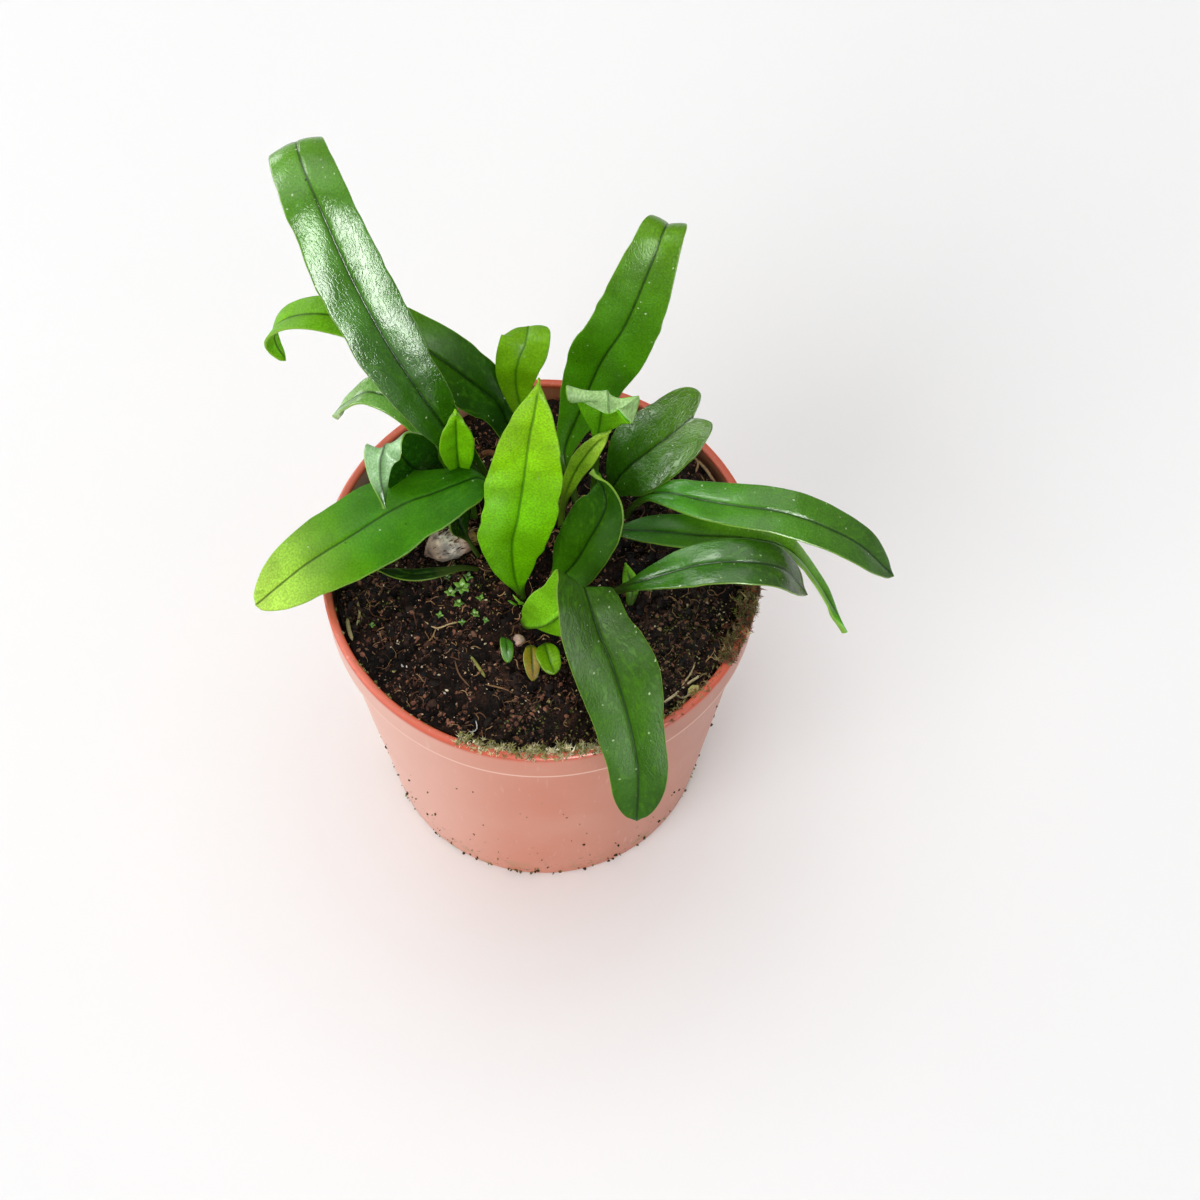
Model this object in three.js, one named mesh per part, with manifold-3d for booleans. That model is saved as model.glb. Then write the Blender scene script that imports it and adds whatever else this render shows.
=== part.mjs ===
// A young fern with simple strap-shaped fronds, in a round plastic nursery pot filled with peat.
// Millimetres, +Z up. The origin is the centre of the pot's flat underside; +X is the viewer's right and +Y
// points away from the viewer.

import * as THREE from 'three';
import { mergeVertices } from 'three/addons/utils/BufferGeometryUtils.js';
import Module from 'manifold-3d';

const wasm = await Module();
wasm.setup();

// Pot
const RIM_RADIUS = 52.5;
const BASE_RADIUS = 41;
const POT_HEIGHT = 93;
const WALL = 1.1;
const FLOOR = 1.6;
const LIP = 2;                     // thickness of the rounded lip
const BAND_RADIUS = 52;            // the upright collar under the lip
const BAND_BOTTOM = 82;
const BAND_STEP = 1.4;             // how far the wall steps in under the collar
const BEVEL = 1.2;                 // the slanted underside of the collar, and the edge of the foot
const WALL_TOP_RADIUS = BAND_RADIUS - BAND_STEP;
const POT_SIDES = 64;
const DRAIN_HOLES = 8;
const DRAIN_RADIUS = 3.2;
const DRAIN_RING = 29;             // the drain holes lie on a circle of this radius
const DRAIN_SIDES = 12;

// Soil
const GAP = 0.3;                   // clearance between neighbouring pieces
const SOIL_LEVEL = 88.6;
const SOIL_RISE = [0.024, -0.03];  // the top rises towards the viewer's right and towards the viewer
const LUMPS = [                    // waves in the top: height, radians per millimetre along X and Y, offset
  [0.3, 0.31, 0.27, 1.3], [0.3, 0.29, -0.33, 0.4], [0.4, 0.83, 0.61, 0], [0.3, 1.37, -1.09, 2.4],
];
const SOIL_RADIUS = WALL_TOP_RADIUS - WALL - GAP - 0.1;
const SHOULDER = 80;               // below this height the soil tapers with the pot
const SOIL_SIDES = 48;
const SOIL_RINGS = 11;

// Holes for the stems
const ROOT_DEPTH = 7;              // how far each stem reaches down into its hole
const HOLE_ROOM = 0.55;            // the holes are this much wider still, for the stem's bend
const HOLE_ABOVE = 6;              // how far the bore runs on above the stem's foot, clear of any lump
const HOLE_SIDES = 8;

// Fronds
const STEM_THICKNESS = 1.9;
const STEM_SHARE = 0.9;            // a narrower stem is this thick for its width
const STEM_EDGE = 0.65;            // a stem's edges are this thick for its middle
const RIB_THICKNESS = 1.2;
const RIB_START = 0.2;             // the stem thins into the midrib between these shares of the length
const RIB_END = 0.6;
const BLADE_THICKNESS = 0.65;      // at the edge
const BLADE_HALF = 2.5;            // half width from which the frond is all blade
const TIP_WIDTH = 0.7;
const ROW_SPACING = 5.5;           // distance between cross-sections along a frond
const MIN_ROWS = 5;
const CLOSING = 0.1;               // share of the length over which a tip closes
const CLOSING_ROWS = [0.4, 0.72, 0.92, 1];
const ACROSS = [-1, -0.5, 0, 0.5, 1];
const LEVEL = [0, 0];

// Two-lobed tip
const ACROSS_LOBES = [-1, -0.92, -0.75, -0.45, 0, 0.45, 0.75, 0.92, 1];
const LOBE_PEAK = 0.45;            // where across the half width the tip reaches furthest
const LOBE_FALL = 2.6;             // how far its outer edge falls back, in notch depths
const LOBE_START = 0.6;            // the rows bend into the lobes from this share of the length

const RHIZOME_SIDES = 10;

// Materials

const paint = (color, roughness) => new THREE.MeshStandardMaterial({ color, roughness, metalness: 0 });
const materials = {
  pot: paint(0xc9775c, 0.5),
  soil: paint(0x2a1b14, 0.95),
  rhizome: paint(0x9a8a62, 0.7),
  dark: paint(0x1f5a1e, 0.3),
  mid: paint(0x37801f, 0.35),
  bright: paint(0x63b512, 0.4),
  brown: paint(0x8a6b1c, 0.5),
};

// Each frond: its route from the soil to the tip; its width at even steps from the root to the tip; the
// compass direction of its right-hand edge (`edge`); and, at even steps too, how far the blade is rolled about
// the midrib (`roll`, positive lifts the right-hand edge) and how steeply both halves rise from it (`fold`).
const fronds = [
  { name: 'frond_tall_left', color: 'dark', edge: 25, fold: [10, 12, 8, 4, 4],
    widths: [2, 2.3, 7.2, 13, 15.5, 16.2, 15, 12.5, 8],
    path: [[-12.5, 18.5, 88], [-13, 18.5, 95], [-14.3, 18.5, 103], [-18, 19, 111], [-23.5, 19.5, 124.8],
      [-33, 23.7, 145.3], [-41, 30.5, 162.8], [-48.5, 41.5, 178], [-52.5, 51, 181], [-54, 58, 178],
      [-54.5, 61, 170], [-54, 61, 160]] },
  { name: 'frond_arched_left', color: 'dark', edge: 70, fold: [10, 14, 10, 8, 8],
    widths: [2, 2.2, 6, 11, 13, 13, 10.5, 9, 5],
    path: [[-8, 20, 88], [-7, 23, 94.5], [-7, 26.5, 102.5], [-10, 30, 114.5], [-14.5, 32, 119],
      [-25.5, 35, 129], [-37.5, 38, 136], [-50.5, 39, 139], [-59, 41.5, 133.7], [-63.5, 43, 125],
      [-62, 41, 117.5]] },
  { name: 'frond_narrow_left', color: 'mid', edge: 70, fold: [12, 12, 8],
    widths: [2, 2, 2.5, 4, 6, 7, 6, 4.5, 1.5],
    path: [[-18.5, 20, 88], [-21, 22, 95], [-24.5, 24, 105], [-32, 27.5, 117.5], [-40, 28.5, 122.5],
      [-45.5, 28.5, 118.5], [-49.5, 29.5, 110.5]] },
  { name: 'frond_hooked_left', color: 'dark', edge: 100, roll: [0, -25, 0, 30], fold: [14, 14, 10],
    widths: [2, 2, 2.5, 5.5, 10, 12, 10, 7, 1.5],
    path: [[-22.5, 18.5, 88], [-23.5, 19, 97], [-26, 19.8, 103.5], [-29.5, 17.2, 113], [-33.5, 10.5, 123.5],
      [-36, 6, 124], [-36, -1, 119]] },
  { name: 'frond_low_left', color: 'bright', edge: 115, roll: [0, -10, -5, 0, 0],
    fold: [0, -10, -18, -5, 6],
    widths: [2, 2.2, 4, 9, 15.5, 20, 19.8, 17, 11],
    path: [[-10, 6.5, 88], [-10, 9.5, 97], [-10.5, 11.5, 106], [-14.5, 11.5, 112], [-19, 9.5, 113],
      [-26, 7, 112], [-33, 5, 110], [-44.5, -1, 106], [-56.5, -7, 101], [-67, -13.5, 95]] },
  { name: 'leaf_upright_left', color: 'bright', edge: 5, fold: [20, 25],
    widths: [1.8, 1.8, 1.8, 2.2, 5, 7.2, 7.6, 6.6, 1.5],
    path: [[-16.5, 14.5, 88], [-17.2, 15.8, 95], [-19, 16.3, 104], [-19.4, 15.6, 112], [-19.5, 14.5, 122],
      [-19, 11.5, 140]] },
  { name: 'leaf_bright_centre', color: 'bright', edge: 0, fold: [10, 12, 10],
    widths: [2, 2.4, 10, 17, 18.2, 17.5, 14, 9, 1],
    path: [[-4.5, -7.5, 88], [-6.2, -5.5, 96], [-6.7, -2.8, 105.5], [-5.2, 0, 114], [-3.8, 3.5, 124],
      [-2.4, 6.5, 137], [-1, 8.5, 146], [0, 11, 154]] },
  { name: 'leaf_back_centre', color: 'bright', edge: 0, roll: [0, 0, 12], fold: [14, 14, 6],
    widths: [1.8, 1.8, 1.8, 1.8, 3.5, 7, 10, 10.5, 8],
    path: [[-1.5, 20, 88], [-2, 24.5, 98], [-4.5, 30, 111], [-6, 32.5, 120], [-5.5, 34, 127],
      [-3.5, 37, 131.5], [-3, 42, 130]] },
  { name: 'frond_tall_right', color: 'mid', edge: -18, fold: [20, 14, 8],
    widths: [2, 2.2, 7, 13.5, 17, 16.3, 14.2, 10, 5],
    path: [[8, 20, 88], [6.5, 23, 95], [5.5, 26.5, 101], [9, 30.5, 111.6], [14, 34, 127.5], [19.5, 35, 141.5],
      [25, 38.5, 160], [27.5, 43, 165.5], [29, 48, 162], [30, 50, 154]] },
  { name: 'leaf_folded_top', color: 'bright', edge: -8, roll: [0, 14], fold: [20, 14, 6],
    widths: [1.8, 1.8, 1.8, 1.8, 2, 3, 9, 17.5, 15],
    path: [[12.3, 18, 88], [12.5, 19.3, 98], [13, 20.5, 110.5], [14, 21.5, 122.5], [15, 22, 130],
      [15.5, 21, 135.5], [16, 18, 133.5]] },
  { name: 'frond_notched', color: 'dark', edge: -60, notch: 4.5, fold: [14, 10, 6],
    widths: [2, 2, 4, 11, 17, 19.5, 19.5, 19, 18],
    path: [[16.5, 20.5, 88], [17.5, 20, 96], [21, 20, 104], [25.5, 20.5, 110], [31, 21.5, 116], [35, 23, 120],
      [39, 24, 123]] },
  { name: 'leaf_narrow_centre', color: 'bright', edge: -20, fold: [50, 50],
    widths: [1.6, 1.6, 1.6, 2.2, 4, 5, 6, 5, 1],
    path: [[4.5, 13, 88], [5, 14.5, 95], [7.5, 16, 106], [11.5, 16.5, 117], [16, 17, 124]] },
  { name: 'leaf_round_centre', color: 'mid', edge: -45, fold: [14, 10],
    widths: [2, 2, 4.5, 12, 14, 15, 14, 9.5, 1],
    path: [[1.8, -5.5, 88], [3.8, -5.3, 93], [7.8, -4.2, 99], [10.8, -2.8, 106], [13.8, -0.6, 112.5],
      [15.5, 2, 117.5], [14.3, 5, 121], [11.5, 7.2, 122]] },
  { name: 'frond_long_right', color: 'mid', edge: -110, fold: [14, 10, 6],
    widths: [2, 2, 3.5, 8.5, 11.5, 12, 11.8, 10, 5.5],
    path: [[20, 15, 88], [21.5, 14, 95], [26, 11.5, 104], [37, 4, 114], [46, 0.5, 118], [55.5, -1, 118],
      [64.5, -2.5, 115], [74.5, -4, 108], [83, -6.5, 98]] },
  { name: 'frond_drooping_right', color: 'mid', edge: -110, roll: [0, 0, 0, 30, 0], fold: [14, 14, 10],
    widths: [2, 2.4, 7.5, 9.5, 9, 8, 7.5, 5, 0.8],
    path: [[15.5, 10.5, 88], [19.5, 8, 94], [28, 4.5, 99.5], [37.5, 1.5, 103], [48, -0.5, 105],
      [57.5, -2.5, 104], [65, -6, 95], [73, -13.5, 83]] },
  { name: 'frond_low_right', color: 'dark', edge: -95, fold: [12, 10, 6],
    widths: [2, 2, 3.5, 7.5, 11.5, 12, 11, 8, 3],
    path: [[16, -6, 88], [18.5, -7.5, 93], [23.5, -10, 101], [30, -11, 107], [38, -11.5, 112], [46, -12, 114],
      [54.5, -11.5, 111], [59.5, -11, 104], [62.5, -10.5, 96]] },
  { name: 'frond_front', color: 'dark', edge: 180, roll: [35, 35, 25, 18, 0, 0, 5], fold: [6, 4, 6],
    widths: [2.4, 4, 15, 14.5, 17.5, 18, 15.5, 13, 10],
    path: [[-3, -15, 88], [-3.2, -16, 92], [-1.3, -19.6, 98], [2.3, -22, 104], [6, -22.2, 110],
      [8.2, -21.8, 115.5], [10, -21.8, 119], [11.4, -25.8, 118.8], [13.3, -30.4, 115],
      [16.6, -36.5, 109.5], [19.6, -44, 104], [21.6, -50.5, 99], [22.8, -55.9, 91.5], [22.6, -60.5, 78]] },
  { name: 'leaf_tiny_dark', color: 'dark', edge: 160, fold: [20, 20],
    widths: [1.1, 1.1, 1.6, 4.2, 3],
    path: [[-8.5, -19, 88], [-8.4, -20.5, 92], [-7.8, -24, 93.8], [-7.5, -27.5, 93.6]] },
  { name: 'leaf_tiny_brown', color: 'brown', edge: 180, fold: [10, 10],
    widths: [1.1, 1.1, 1.6, 3.8, 2.5],
    path: [[-2.5, -20.5, 88], [-2.2, -23, 92.5], [-1.8, -28, 93.8], [-1.6, -32, 93]] },
  { name: 'leaf_tiny_green', color: 'bright', edge: 200, fold: [10, 10],
    widths: [1.1, 1.1, 1.6, 4.5, 3.5],
    path: [[2, -19.5, 88], [2, -22.5, 92.5], [3, -27.4, 94], [4, -30.8, 93.2]] },
  { name: 'leaf_small_right', color: 'bright', edge: 0, fold: [10, 10],
    widths: [1.1, 1.1, 1.6, 2.8, 0.8],
    path: [[21.2, -9.5, 88], [21.5, -7.8, 91], [21.4, -6.3, 93], [20, -2.8, 97]] },
  { name: 'leaf_on_soil', color: 'dark', edge: 90, fold: [10, 10],
    widths: [1.2, 1.2, 1.5, 4, 6.5, 5.5, 1.5],
    path: [[-14.5, 0.5, 88], [-19, -1.5, 92.5], [-24.5, -4, 94.5], [-31, -5, 95], [-39, -3, 94]] },
  { name: 'leaf_under_left', color: 'dark', edge: 60, fold: [10, 10],
    widths: [1.3, 1.3, 1.3, 7, 10, 9, 4],
    path: [[-15, 4, 88], [-17, 4.5, 94], [-19.5, 5.5, 101], [-19.5, 8, 106], [-17.5, 10, 108]] },
];

// Rhizomes: short rootstocks lying half in the soil, with their radius at even steps along the route.
const rhizomes = [
  { name: 'rhizome_left', path: [[-29.5, 5, 88], [-25, 6.5, 89.3], [-20, 8.5, 89.5], [-15.5, 10, 88.5]],
    radii: [0, 2.2, 3, 3.1, 2.9, 2.2, 0] },
  { name: 'rhizome_front', path: [[-5, -19, 85], [-5.2, -19.3, 88.5], [-5.4, -19.6, 91.5]],
    radii: [0, 1.4, 1.6, 1.4, 0] },
];

// Shared shapes

const { degToRad, lerp, smoothstep, clamp } = THREE.MathUtils;
const vector = (p) => new THREE.Vector3(...p);
const routeThrough = (points) => new THREE.CatmullRomCurve3(points, false, 'catmullrom', 0.5);

function meshFrom(positions, triangles) {
  const geometry = new THREE.BufferGeometry();
  geometry.setAttribute('position', new THREE.Float32BufferAttribute(positions.flat(), 3));
  geometry.setIndex(triangles.flat());
  return geometry;
}

function toSolid(geometry) {
  const bare = geometry.clone();
  bare.deleteAttribute('normal');
  bare.deleteAttribute('uv');
  const merged = mergeVertices(bare, 1e-4);
  return new wasm.Manifold(new wasm.Mesh({
    numProp: 3,
    vertProperties: new Float32Array(merged.attributes.position.array),
    triVerts: new Uint32Array(merged.index.array),
  }));
}

function toGeometry(solid) {
  const mesh = solid.getMesh();
  const geometry = new THREE.BufferGeometry();
  geometry.setAttribute('position', new THREE.BufferAttribute(mesh.vertProperties, 3));
  geometry.setIndex(new THREE.BufferAttribute(mesh.triVerts, 1));
  return geometry;
}

// A smooth curve through values that stand at even steps from 0 to 1.
function evenly(values, s) {
  const last = values.length - 1;
  const place = Math.min(s * last, last - 1e-9);
  const i = Math.floor(place);
  const t = place - i;
  const [a, b, c, d] = [-1, 0, 1, 2].map((k) => values[clamp(i + k, 0, last)]);
  return b + 0.5 * t * (c - a + t * (2 * a - 5 * b + 4 * c - d + t * (3 * (b - c) + d - a)));
}

// Fronds

// Places of the cross-sections from root to tip: even steps, then closer ones where the tip closes.
function stations(length) {
  const steps = Math.max(MIN_ROWS, Math.round((length * (1 - CLOSING)) / ROW_SPACING));
  const places = [];
  for (let i = 0; i <= steps; i++) places.push((i / steps) * (1 - CLOSING));
  for (const x of CLOSING_ROWS) places.push(1 - CLOSING * (1 - x));
  return places;
}

// How far a two-lobed tip falls back from its furthest reach, in notch depths, at a share of the half width.
function lobes(out) {
  if (out < LOBE_PEAK) return (1 - out / LOBE_PEAK) ** 1.5;
  return LOBE_FALL * (1 - Math.sqrt(1 - ((out - LOBE_PEAK) / (1 - LOBE_PEAK)) ** 2));
}

// The frond's rows of points from root to tip: in each, pairs of an upper and a lower point across the width.
function frondRows({ path, widths, edge, roll = LEVEL, fold, notch = 0 }) {
  const foot = vector(path[0]);
  const root = foot.clone().sub(vector(path[1])).setLength(ROOT_DEPTH).add(foot);
  const route = routeThrough([root, ...path.map(vector)]);
  const compass = new THREE.Vector3(Math.cos(degToRad(edge)), Math.sin(degToRad(edge)), 0);
  const stem = Math.min(STEM_THICKNESS, widths[0] * STEM_SHARE);
  return stations(route.getLength()).map((s) => {
    const centre = route.getPointAt(s);
    const along = route.getTangentAt(s);
    const turn = degToRad(evenly(roll, s));
    const right = compass.clone().addScaledVector(along, -compass.dot(along)).normalize()
      .applyAxisAngle(along, -turn);
    const up = right.clone().cross(along);
    const closing = notch ? 0 : Math.max(0, (s - 1 + CLOSING) / CLOSING);
    const half = Math.max(evenly(widths, s) * Math.sqrt(1 - closing ** 2), TIP_WIDTH) / 2;
    const blade = smoothstep(half, widths[0] / 2, BLADE_HALF);
    const rise = degToRad(evenly(fold, s)) * blade;
    const rib = lerp(stem, Math.min(stem, RIB_THICKNESS), smoothstep(s, RIB_START, RIB_END));
    const margin = lerp(stem * STEM_EDGE, BLADE_THICKNESS, blade);
    return (notch ? ACROSS_LOBES : ACROSS).map((u) => {
      const out = Math.abs(u);
      const upper = centre.clone()
        .addScaledVector(right, u * half * Math.cos(rise))
        .addScaledVector(up, out * half * Math.sin(rise) + margin / 2)
        .addScaledVector(along, -notch * lobes(out) * smoothstep(s, LOBE_START, 1));
      return [upper, upper.clone().addScaledVector(up, -lerp(rib, margin, Math.min(1, 2 * out)))];
    });
  });
}

// Two faces with the same grid, closed by a wall round the edge.
function closedBlade(rows) {
  const columns = rows[0].length;
  const positions = [0, 1].flatMap((face) => rows.flatMap((row) => row.map((pair) => pair[face].toArray())));
  const lower = rows.length * columns;
  const last = columns - 1;
  const end = lower - columns;
  const triangles = [];
  const quad = (a, b, c, d) => triangles.push([a, b, c], [a, c, d]);
  for (let a = 0; a < end; a += columns) {
    const b = a + columns;
    for (let j = 0; j < last; j++) {
      quad(a + j, a + j + 1, b + j + 1, b + j);
      triangles.push([lower + a + j, lower + b + j + 1, lower + a + j + 1]);
      triangles.push([lower + a + j, lower + b + j, lower + b + j + 1]);
    }
    quad(a, b, lower + b, lower + a);
    quad(a + last, lower + a + last, lower + b + last, b + last);
  }
  for (let j = 0; j < last; j++) {
    quad(j, lower + j, lower + j + 1, j + 1);
    quad(end + j, end + j + 1, lower + end + j + 1, lower + end + j);
  }
  return meshFrom(positions, triangles);
}

// The plain bore that a stem stands in, straight along the stem's first stretch.
function stemHole({ path, widths }) {
  const foot = vector(path[0]);
  const direction = vector(path[1]).sub(foot).normalize();
  const length = GAP + ROOT_DEPTH + HOLE_ABOVE;
  const radius = widths[0] / 2 + GAP + HOLE_ROOM;
  const middle = foot.addScaledVector(direction, HOLE_ABOVE - length / 2);
  return new THREE.CylinderGeometry(radius, radius, length, HOLE_SIDES)
    .applyQuaternion(new THREE.Quaternion().setFromUnitVectors(new THREE.Vector3(0, 1, 0), direction))
    .translate(middle.x, middle.y, middle.z);
}

// Rhizomes

// A round limb: a ring of points at each step along the route, with a closed point at both ends.
function limb({ path, radii }) {
  const route = routeThrough(path.map(vector));
  const steps = radii.length - 1;
  const positions = [path[0]];
  const triangles = [];
  for (let i = 1; i < steps; i++) {
    const centre = route.getPointAt(i / steps);
    const along = route.getTangentAt(i / steps);
    const side = new THREE.Vector3(-along.y, along.x, 0).normalize();
    const up = along.clone().cross(side);
    for (let j = 0; j < RHIZOME_SIDES; j++) {
      const angle = (j / RHIZOME_SIDES) * 2 * Math.PI;
      positions.push(centre.clone().addScaledVector(side, radii[i] * Math.cos(angle))
        .addScaledVector(up, radii[i] * Math.sin(angle)).toArray());
    }
  }
  positions.push(path.at(-1));
  const top = positions.length - 1;
  const at = (i, j) => 1 + (i - 1) * RHIZOME_SIDES + (j % RHIZOME_SIDES);
  for (let j = 0; j < RHIZOME_SIDES; j++) {
    triangles.push([0, at(1, j + 1), at(1, j)], [top, at(steps - 1, j), at(steps - 1, j + 1)]);
    for (let i = 1; i < steps - 1; i++) {
      triangles.push([at(i, j), at(i, j + 1), at(i + 1, j + 1)], [at(i, j), at(i + 1, j + 1), at(i + 1, j)]);
    }
  }
  return meshFrom(positions, triangles);
}

// The hollow that a rhizome lies in: its own shape, longer and wider by the clearance.
function socket({ path, radii }) {
  const beyond = (a, b) => vector(a).sub(vector(b)).setLength(3 * GAP).add(vector(a)).toArray();
  const longer = [beyond(path[0], path[1]), ...path.slice(1, -1), beyond(path.at(-1), path.at(-2))];
  return limb({ path: longer, radii: radii.map((r) => r + 1.5 * GAP) });
}

// Pot

function potGeometry() {
  const profile = [
    [0, 0], [BASE_RADIUS - 1, 0], [BASE_RADIUS, BEVEL],
    [WALL_TOP_RADIUS, BAND_BOTTOM - BEVEL], [BAND_RADIUS, BAND_BOTTOM],
    [RIM_RADIUS, POT_HEIGHT - 2.4], [RIM_RADIUS, POT_HEIGHT - 0.8], [RIM_RADIUS - 0.7, POT_HEIGHT],
    [RIM_RADIUS - LIP + 0.5, POT_HEIGHT], [RIM_RADIUS - LIP, POT_HEIGHT - 0.8],
    [BAND_RADIUS - WALL - 0.4, POT_HEIGHT - 3], [BAND_RADIUS - WALL - 0.5, BAND_BOTTOM + 1],
    [WALL_TOP_RADIUS - WALL, BAND_BOTTOM - BEVEL - 0.4],
    [BASE_RADIUS - WALL, FLOOR + 1], [BASE_RADIUS - WALL - 1, FLOOR], [0, FLOOR],
  ];
  let pot = toSolid(new THREE.LatheGeometry(profile.map((p) => new THREE.Vector2(...p)), POT_SIDES)
    .rotateX(Math.PI / 2));
  for (let i = 0; i < DRAIN_HOLES; i++) {
    const angle = ((i + 0.5) / DRAIN_HOLES) * 2 * Math.PI;
    pot = pot.subtract(toSolid(new THREE.CylinderGeometry(DRAIN_RADIUS, DRAIN_RADIUS, FLOOR * 4, DRAIN_SIDES)
      .rotateX(Math.PI / 2)
      .translate(DRAIN_RING * Math.cos(angle), DRAIN_RING * Math.sin(angle), FLOOR / 2)));
  }
  return toGeometry(pot);
}

// Soil

function soilHeight(x, y) {
  const level = SOIL_LEVEL + SOIL_RISE[0] * x + SOIL_RISE[1] * y;
  return LUMPS.reduce((sum, [height, a, b, offset]) => sum + height * Math.sin(a * x + b * y + offset), level);
}

// Rings of points from the middle of the top out to the wall, down the wall and in to the middle of the
// bottom; every other ring is turned by half a step.
function soilGeometry(cutters) {
  const radiusAt = (z) => lerp(BASE_RADIUS - WALL, SOIL_RADIUS, (z - FLOOR) / (SHOULDER - FLOOR));
  const rings = [];
  for (let i = 1; i <= SOIL_RINGS; i++) rings.push([SOIL_RADIUS * Math.sqrt(i / SOIL_RINGS), null]);
  rings.push([SOIL_RADIUS, SHOULDER], [radiusAt(FLOOR + 3) - 2 * GAP, FLOOR + 3]);
  rings.push([radiusAt(FLOOR) - 2, FLOOR + GAP]);
  const positions = [[0, 0, soilHeight(0, 0)]];
  rings.forEach(([radius, z], i) => {
    for (let j = 0; j < SOIL_SIDES; j++) {
      const angle = ((j + 0.5 * (i % 2)) / SOIL_SIDES) * 2 * Math.PI;
      const x = radius * Math.cos(angle);
      const y = radius * Math.sin(angle);
      positions.push([x, y, z ?? soilHeight(x, y)]);
    }
  });
  positions.push([0, 0, FLOOR + GAP]);
  const triangles = [];
  const at = (i, j) => 1 + i * SOIL_SIDES + (j % SOIL_SIDES);
  const bottom = positions.length - 1;
  for (let j = 0; j < SOIL_SIDES; j++) {
    triangles.push([0, at(0, j), at(0, j + 1)]);
    triangles.push([bottom, at(rings.length - 1, j + 1), at(rings.length - 1, j)]);
    for (let i = 0; i < rings.length - 1; i++) {
      const [a, b, c, d] = [at(i, j), at(i, j + 1), at(i + 1, j), at(i + 1, j + 1)];
      triangles.push(...(i % 2 ? [[a, c, d], [a, d, b]] : [[a, c, b], [b, c, d]]));
    }
  }
  return toGeometry(cutters.reduce((soil, cutter) => soil.subtract(toSolid(cutter)),
    toSolid(meshFrom(positions, triangles))));
}

const group = new THREE.Group();
function add(name, geometry, color) {
  geometry.computeVertexNormals();
  const mesh = new THREE.Mesh(geometry, materials[color]);
  mesh.name = name;
  group.add(mesh);
}

add('pot', potGeometry(), 'pot');
add('soil', soilGeometry([...fronds.map(stemHole), ...rhizomes.map(socket)]), 'soil');
for (const rhizome of rhizomes) add(rhizome.name, limb(rhizome), 'rhizome');
for (const frond of fronds) add(frond.name, closedBlade(frondRows(frond)), frond.color);

export default group;
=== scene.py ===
"""A young fern with strap-shaped fronds in a round plastic nursery pot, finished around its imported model.

Lengths are in millimetres until a mesh is made. +Z is up, +X the viewer's right, and the origin is the
centre of the pot's underside.
"""

import math
from itertools import product

import bmesh
import bpy
import numpy as np
from mathutils import Matrix, Vector


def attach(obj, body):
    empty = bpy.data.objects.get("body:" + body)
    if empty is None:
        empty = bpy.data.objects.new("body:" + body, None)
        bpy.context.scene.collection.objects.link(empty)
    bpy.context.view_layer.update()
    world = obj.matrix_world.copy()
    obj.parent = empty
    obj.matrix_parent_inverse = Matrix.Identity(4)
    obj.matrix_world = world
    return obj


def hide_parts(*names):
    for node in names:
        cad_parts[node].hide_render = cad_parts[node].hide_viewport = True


MM = 0.001
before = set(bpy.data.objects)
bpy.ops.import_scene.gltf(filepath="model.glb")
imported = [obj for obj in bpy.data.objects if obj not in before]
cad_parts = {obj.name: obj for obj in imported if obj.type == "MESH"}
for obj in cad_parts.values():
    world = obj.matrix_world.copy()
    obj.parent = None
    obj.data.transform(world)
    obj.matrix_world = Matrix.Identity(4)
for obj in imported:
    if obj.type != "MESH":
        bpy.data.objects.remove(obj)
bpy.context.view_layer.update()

# Camera, in the pot's frame
EYE = (9.52, -320.96, 652.53)
LOOK = (0.007, 0.48522, -0.87437)
UP = (-0.00388, 0.87439, 0.4852)
LENS = 81
SENSOR = 36

# Brightness of the surroundings: from the first height of gaze to the second, it goes from the third value
# to the fourth
WORLD_GLOW = (-0.15, 0.15, 0.12, 0.45)

# Pot
RIM_RADIUS = 52.5
BASE_RADIUS = 41
POT_HEIGHT = 93
WALL = 1.1
FLOOR = 1.6
BAND_RADIUS = 52
BAND_BOTTOM = 82
WALL_TOP_RADIUS = 50.6
FOOT_ROUND = 1.3        # radius of the foot's edge
STEP_HOLLOW = 0.7       # radii of the hollow and of the edge where the band begins
STEP_ROUND = 0.5
LIP_ROUND = 0.8         # radii of the lip's outer and inner edge
LIP_INNER_ROUND = 0.7
STEP_DROP = 1.2         # the wall ends this far below the band
POT_SIDES = 240
DRAIN_HOLES = 8
DRAIN_RADIUS = 3.2
DRAIN_RING = 29

# Soil
SOIL_LEVEL = 88.6
SOIL_RISE = (0.024, -0.03)
LUMPS = ((0.3, 0.31, 0.27, 1.3), (0.3, 0.29, -0.33, 0.4), (0.4, 0.83, 0.61, 0), (0.3, 1.37, -1.09, 2.4))
SOIL_RADIUS = 49.3
SHOULDER = 80
SOIL_SIDES = 400
SOIL_RINGS = 105
RING_CROWDING = 0.8     # below 1, the rings lie closer together towards the edge
SOIL_BOTTOM = FLOOR + 0.3
CRAGS = ((0.9, 5.0), (1.0, 2.4), (0.8, 1.2))  # heights and sizes of the crumbs and hollows in the surface
CLEARANCE = 0.8         # random spots on the soil keep this distance from its edge
STRAND_CLEARANCE = 0.6  # and the sticks, fibres, flakes and seedlings this one

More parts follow.
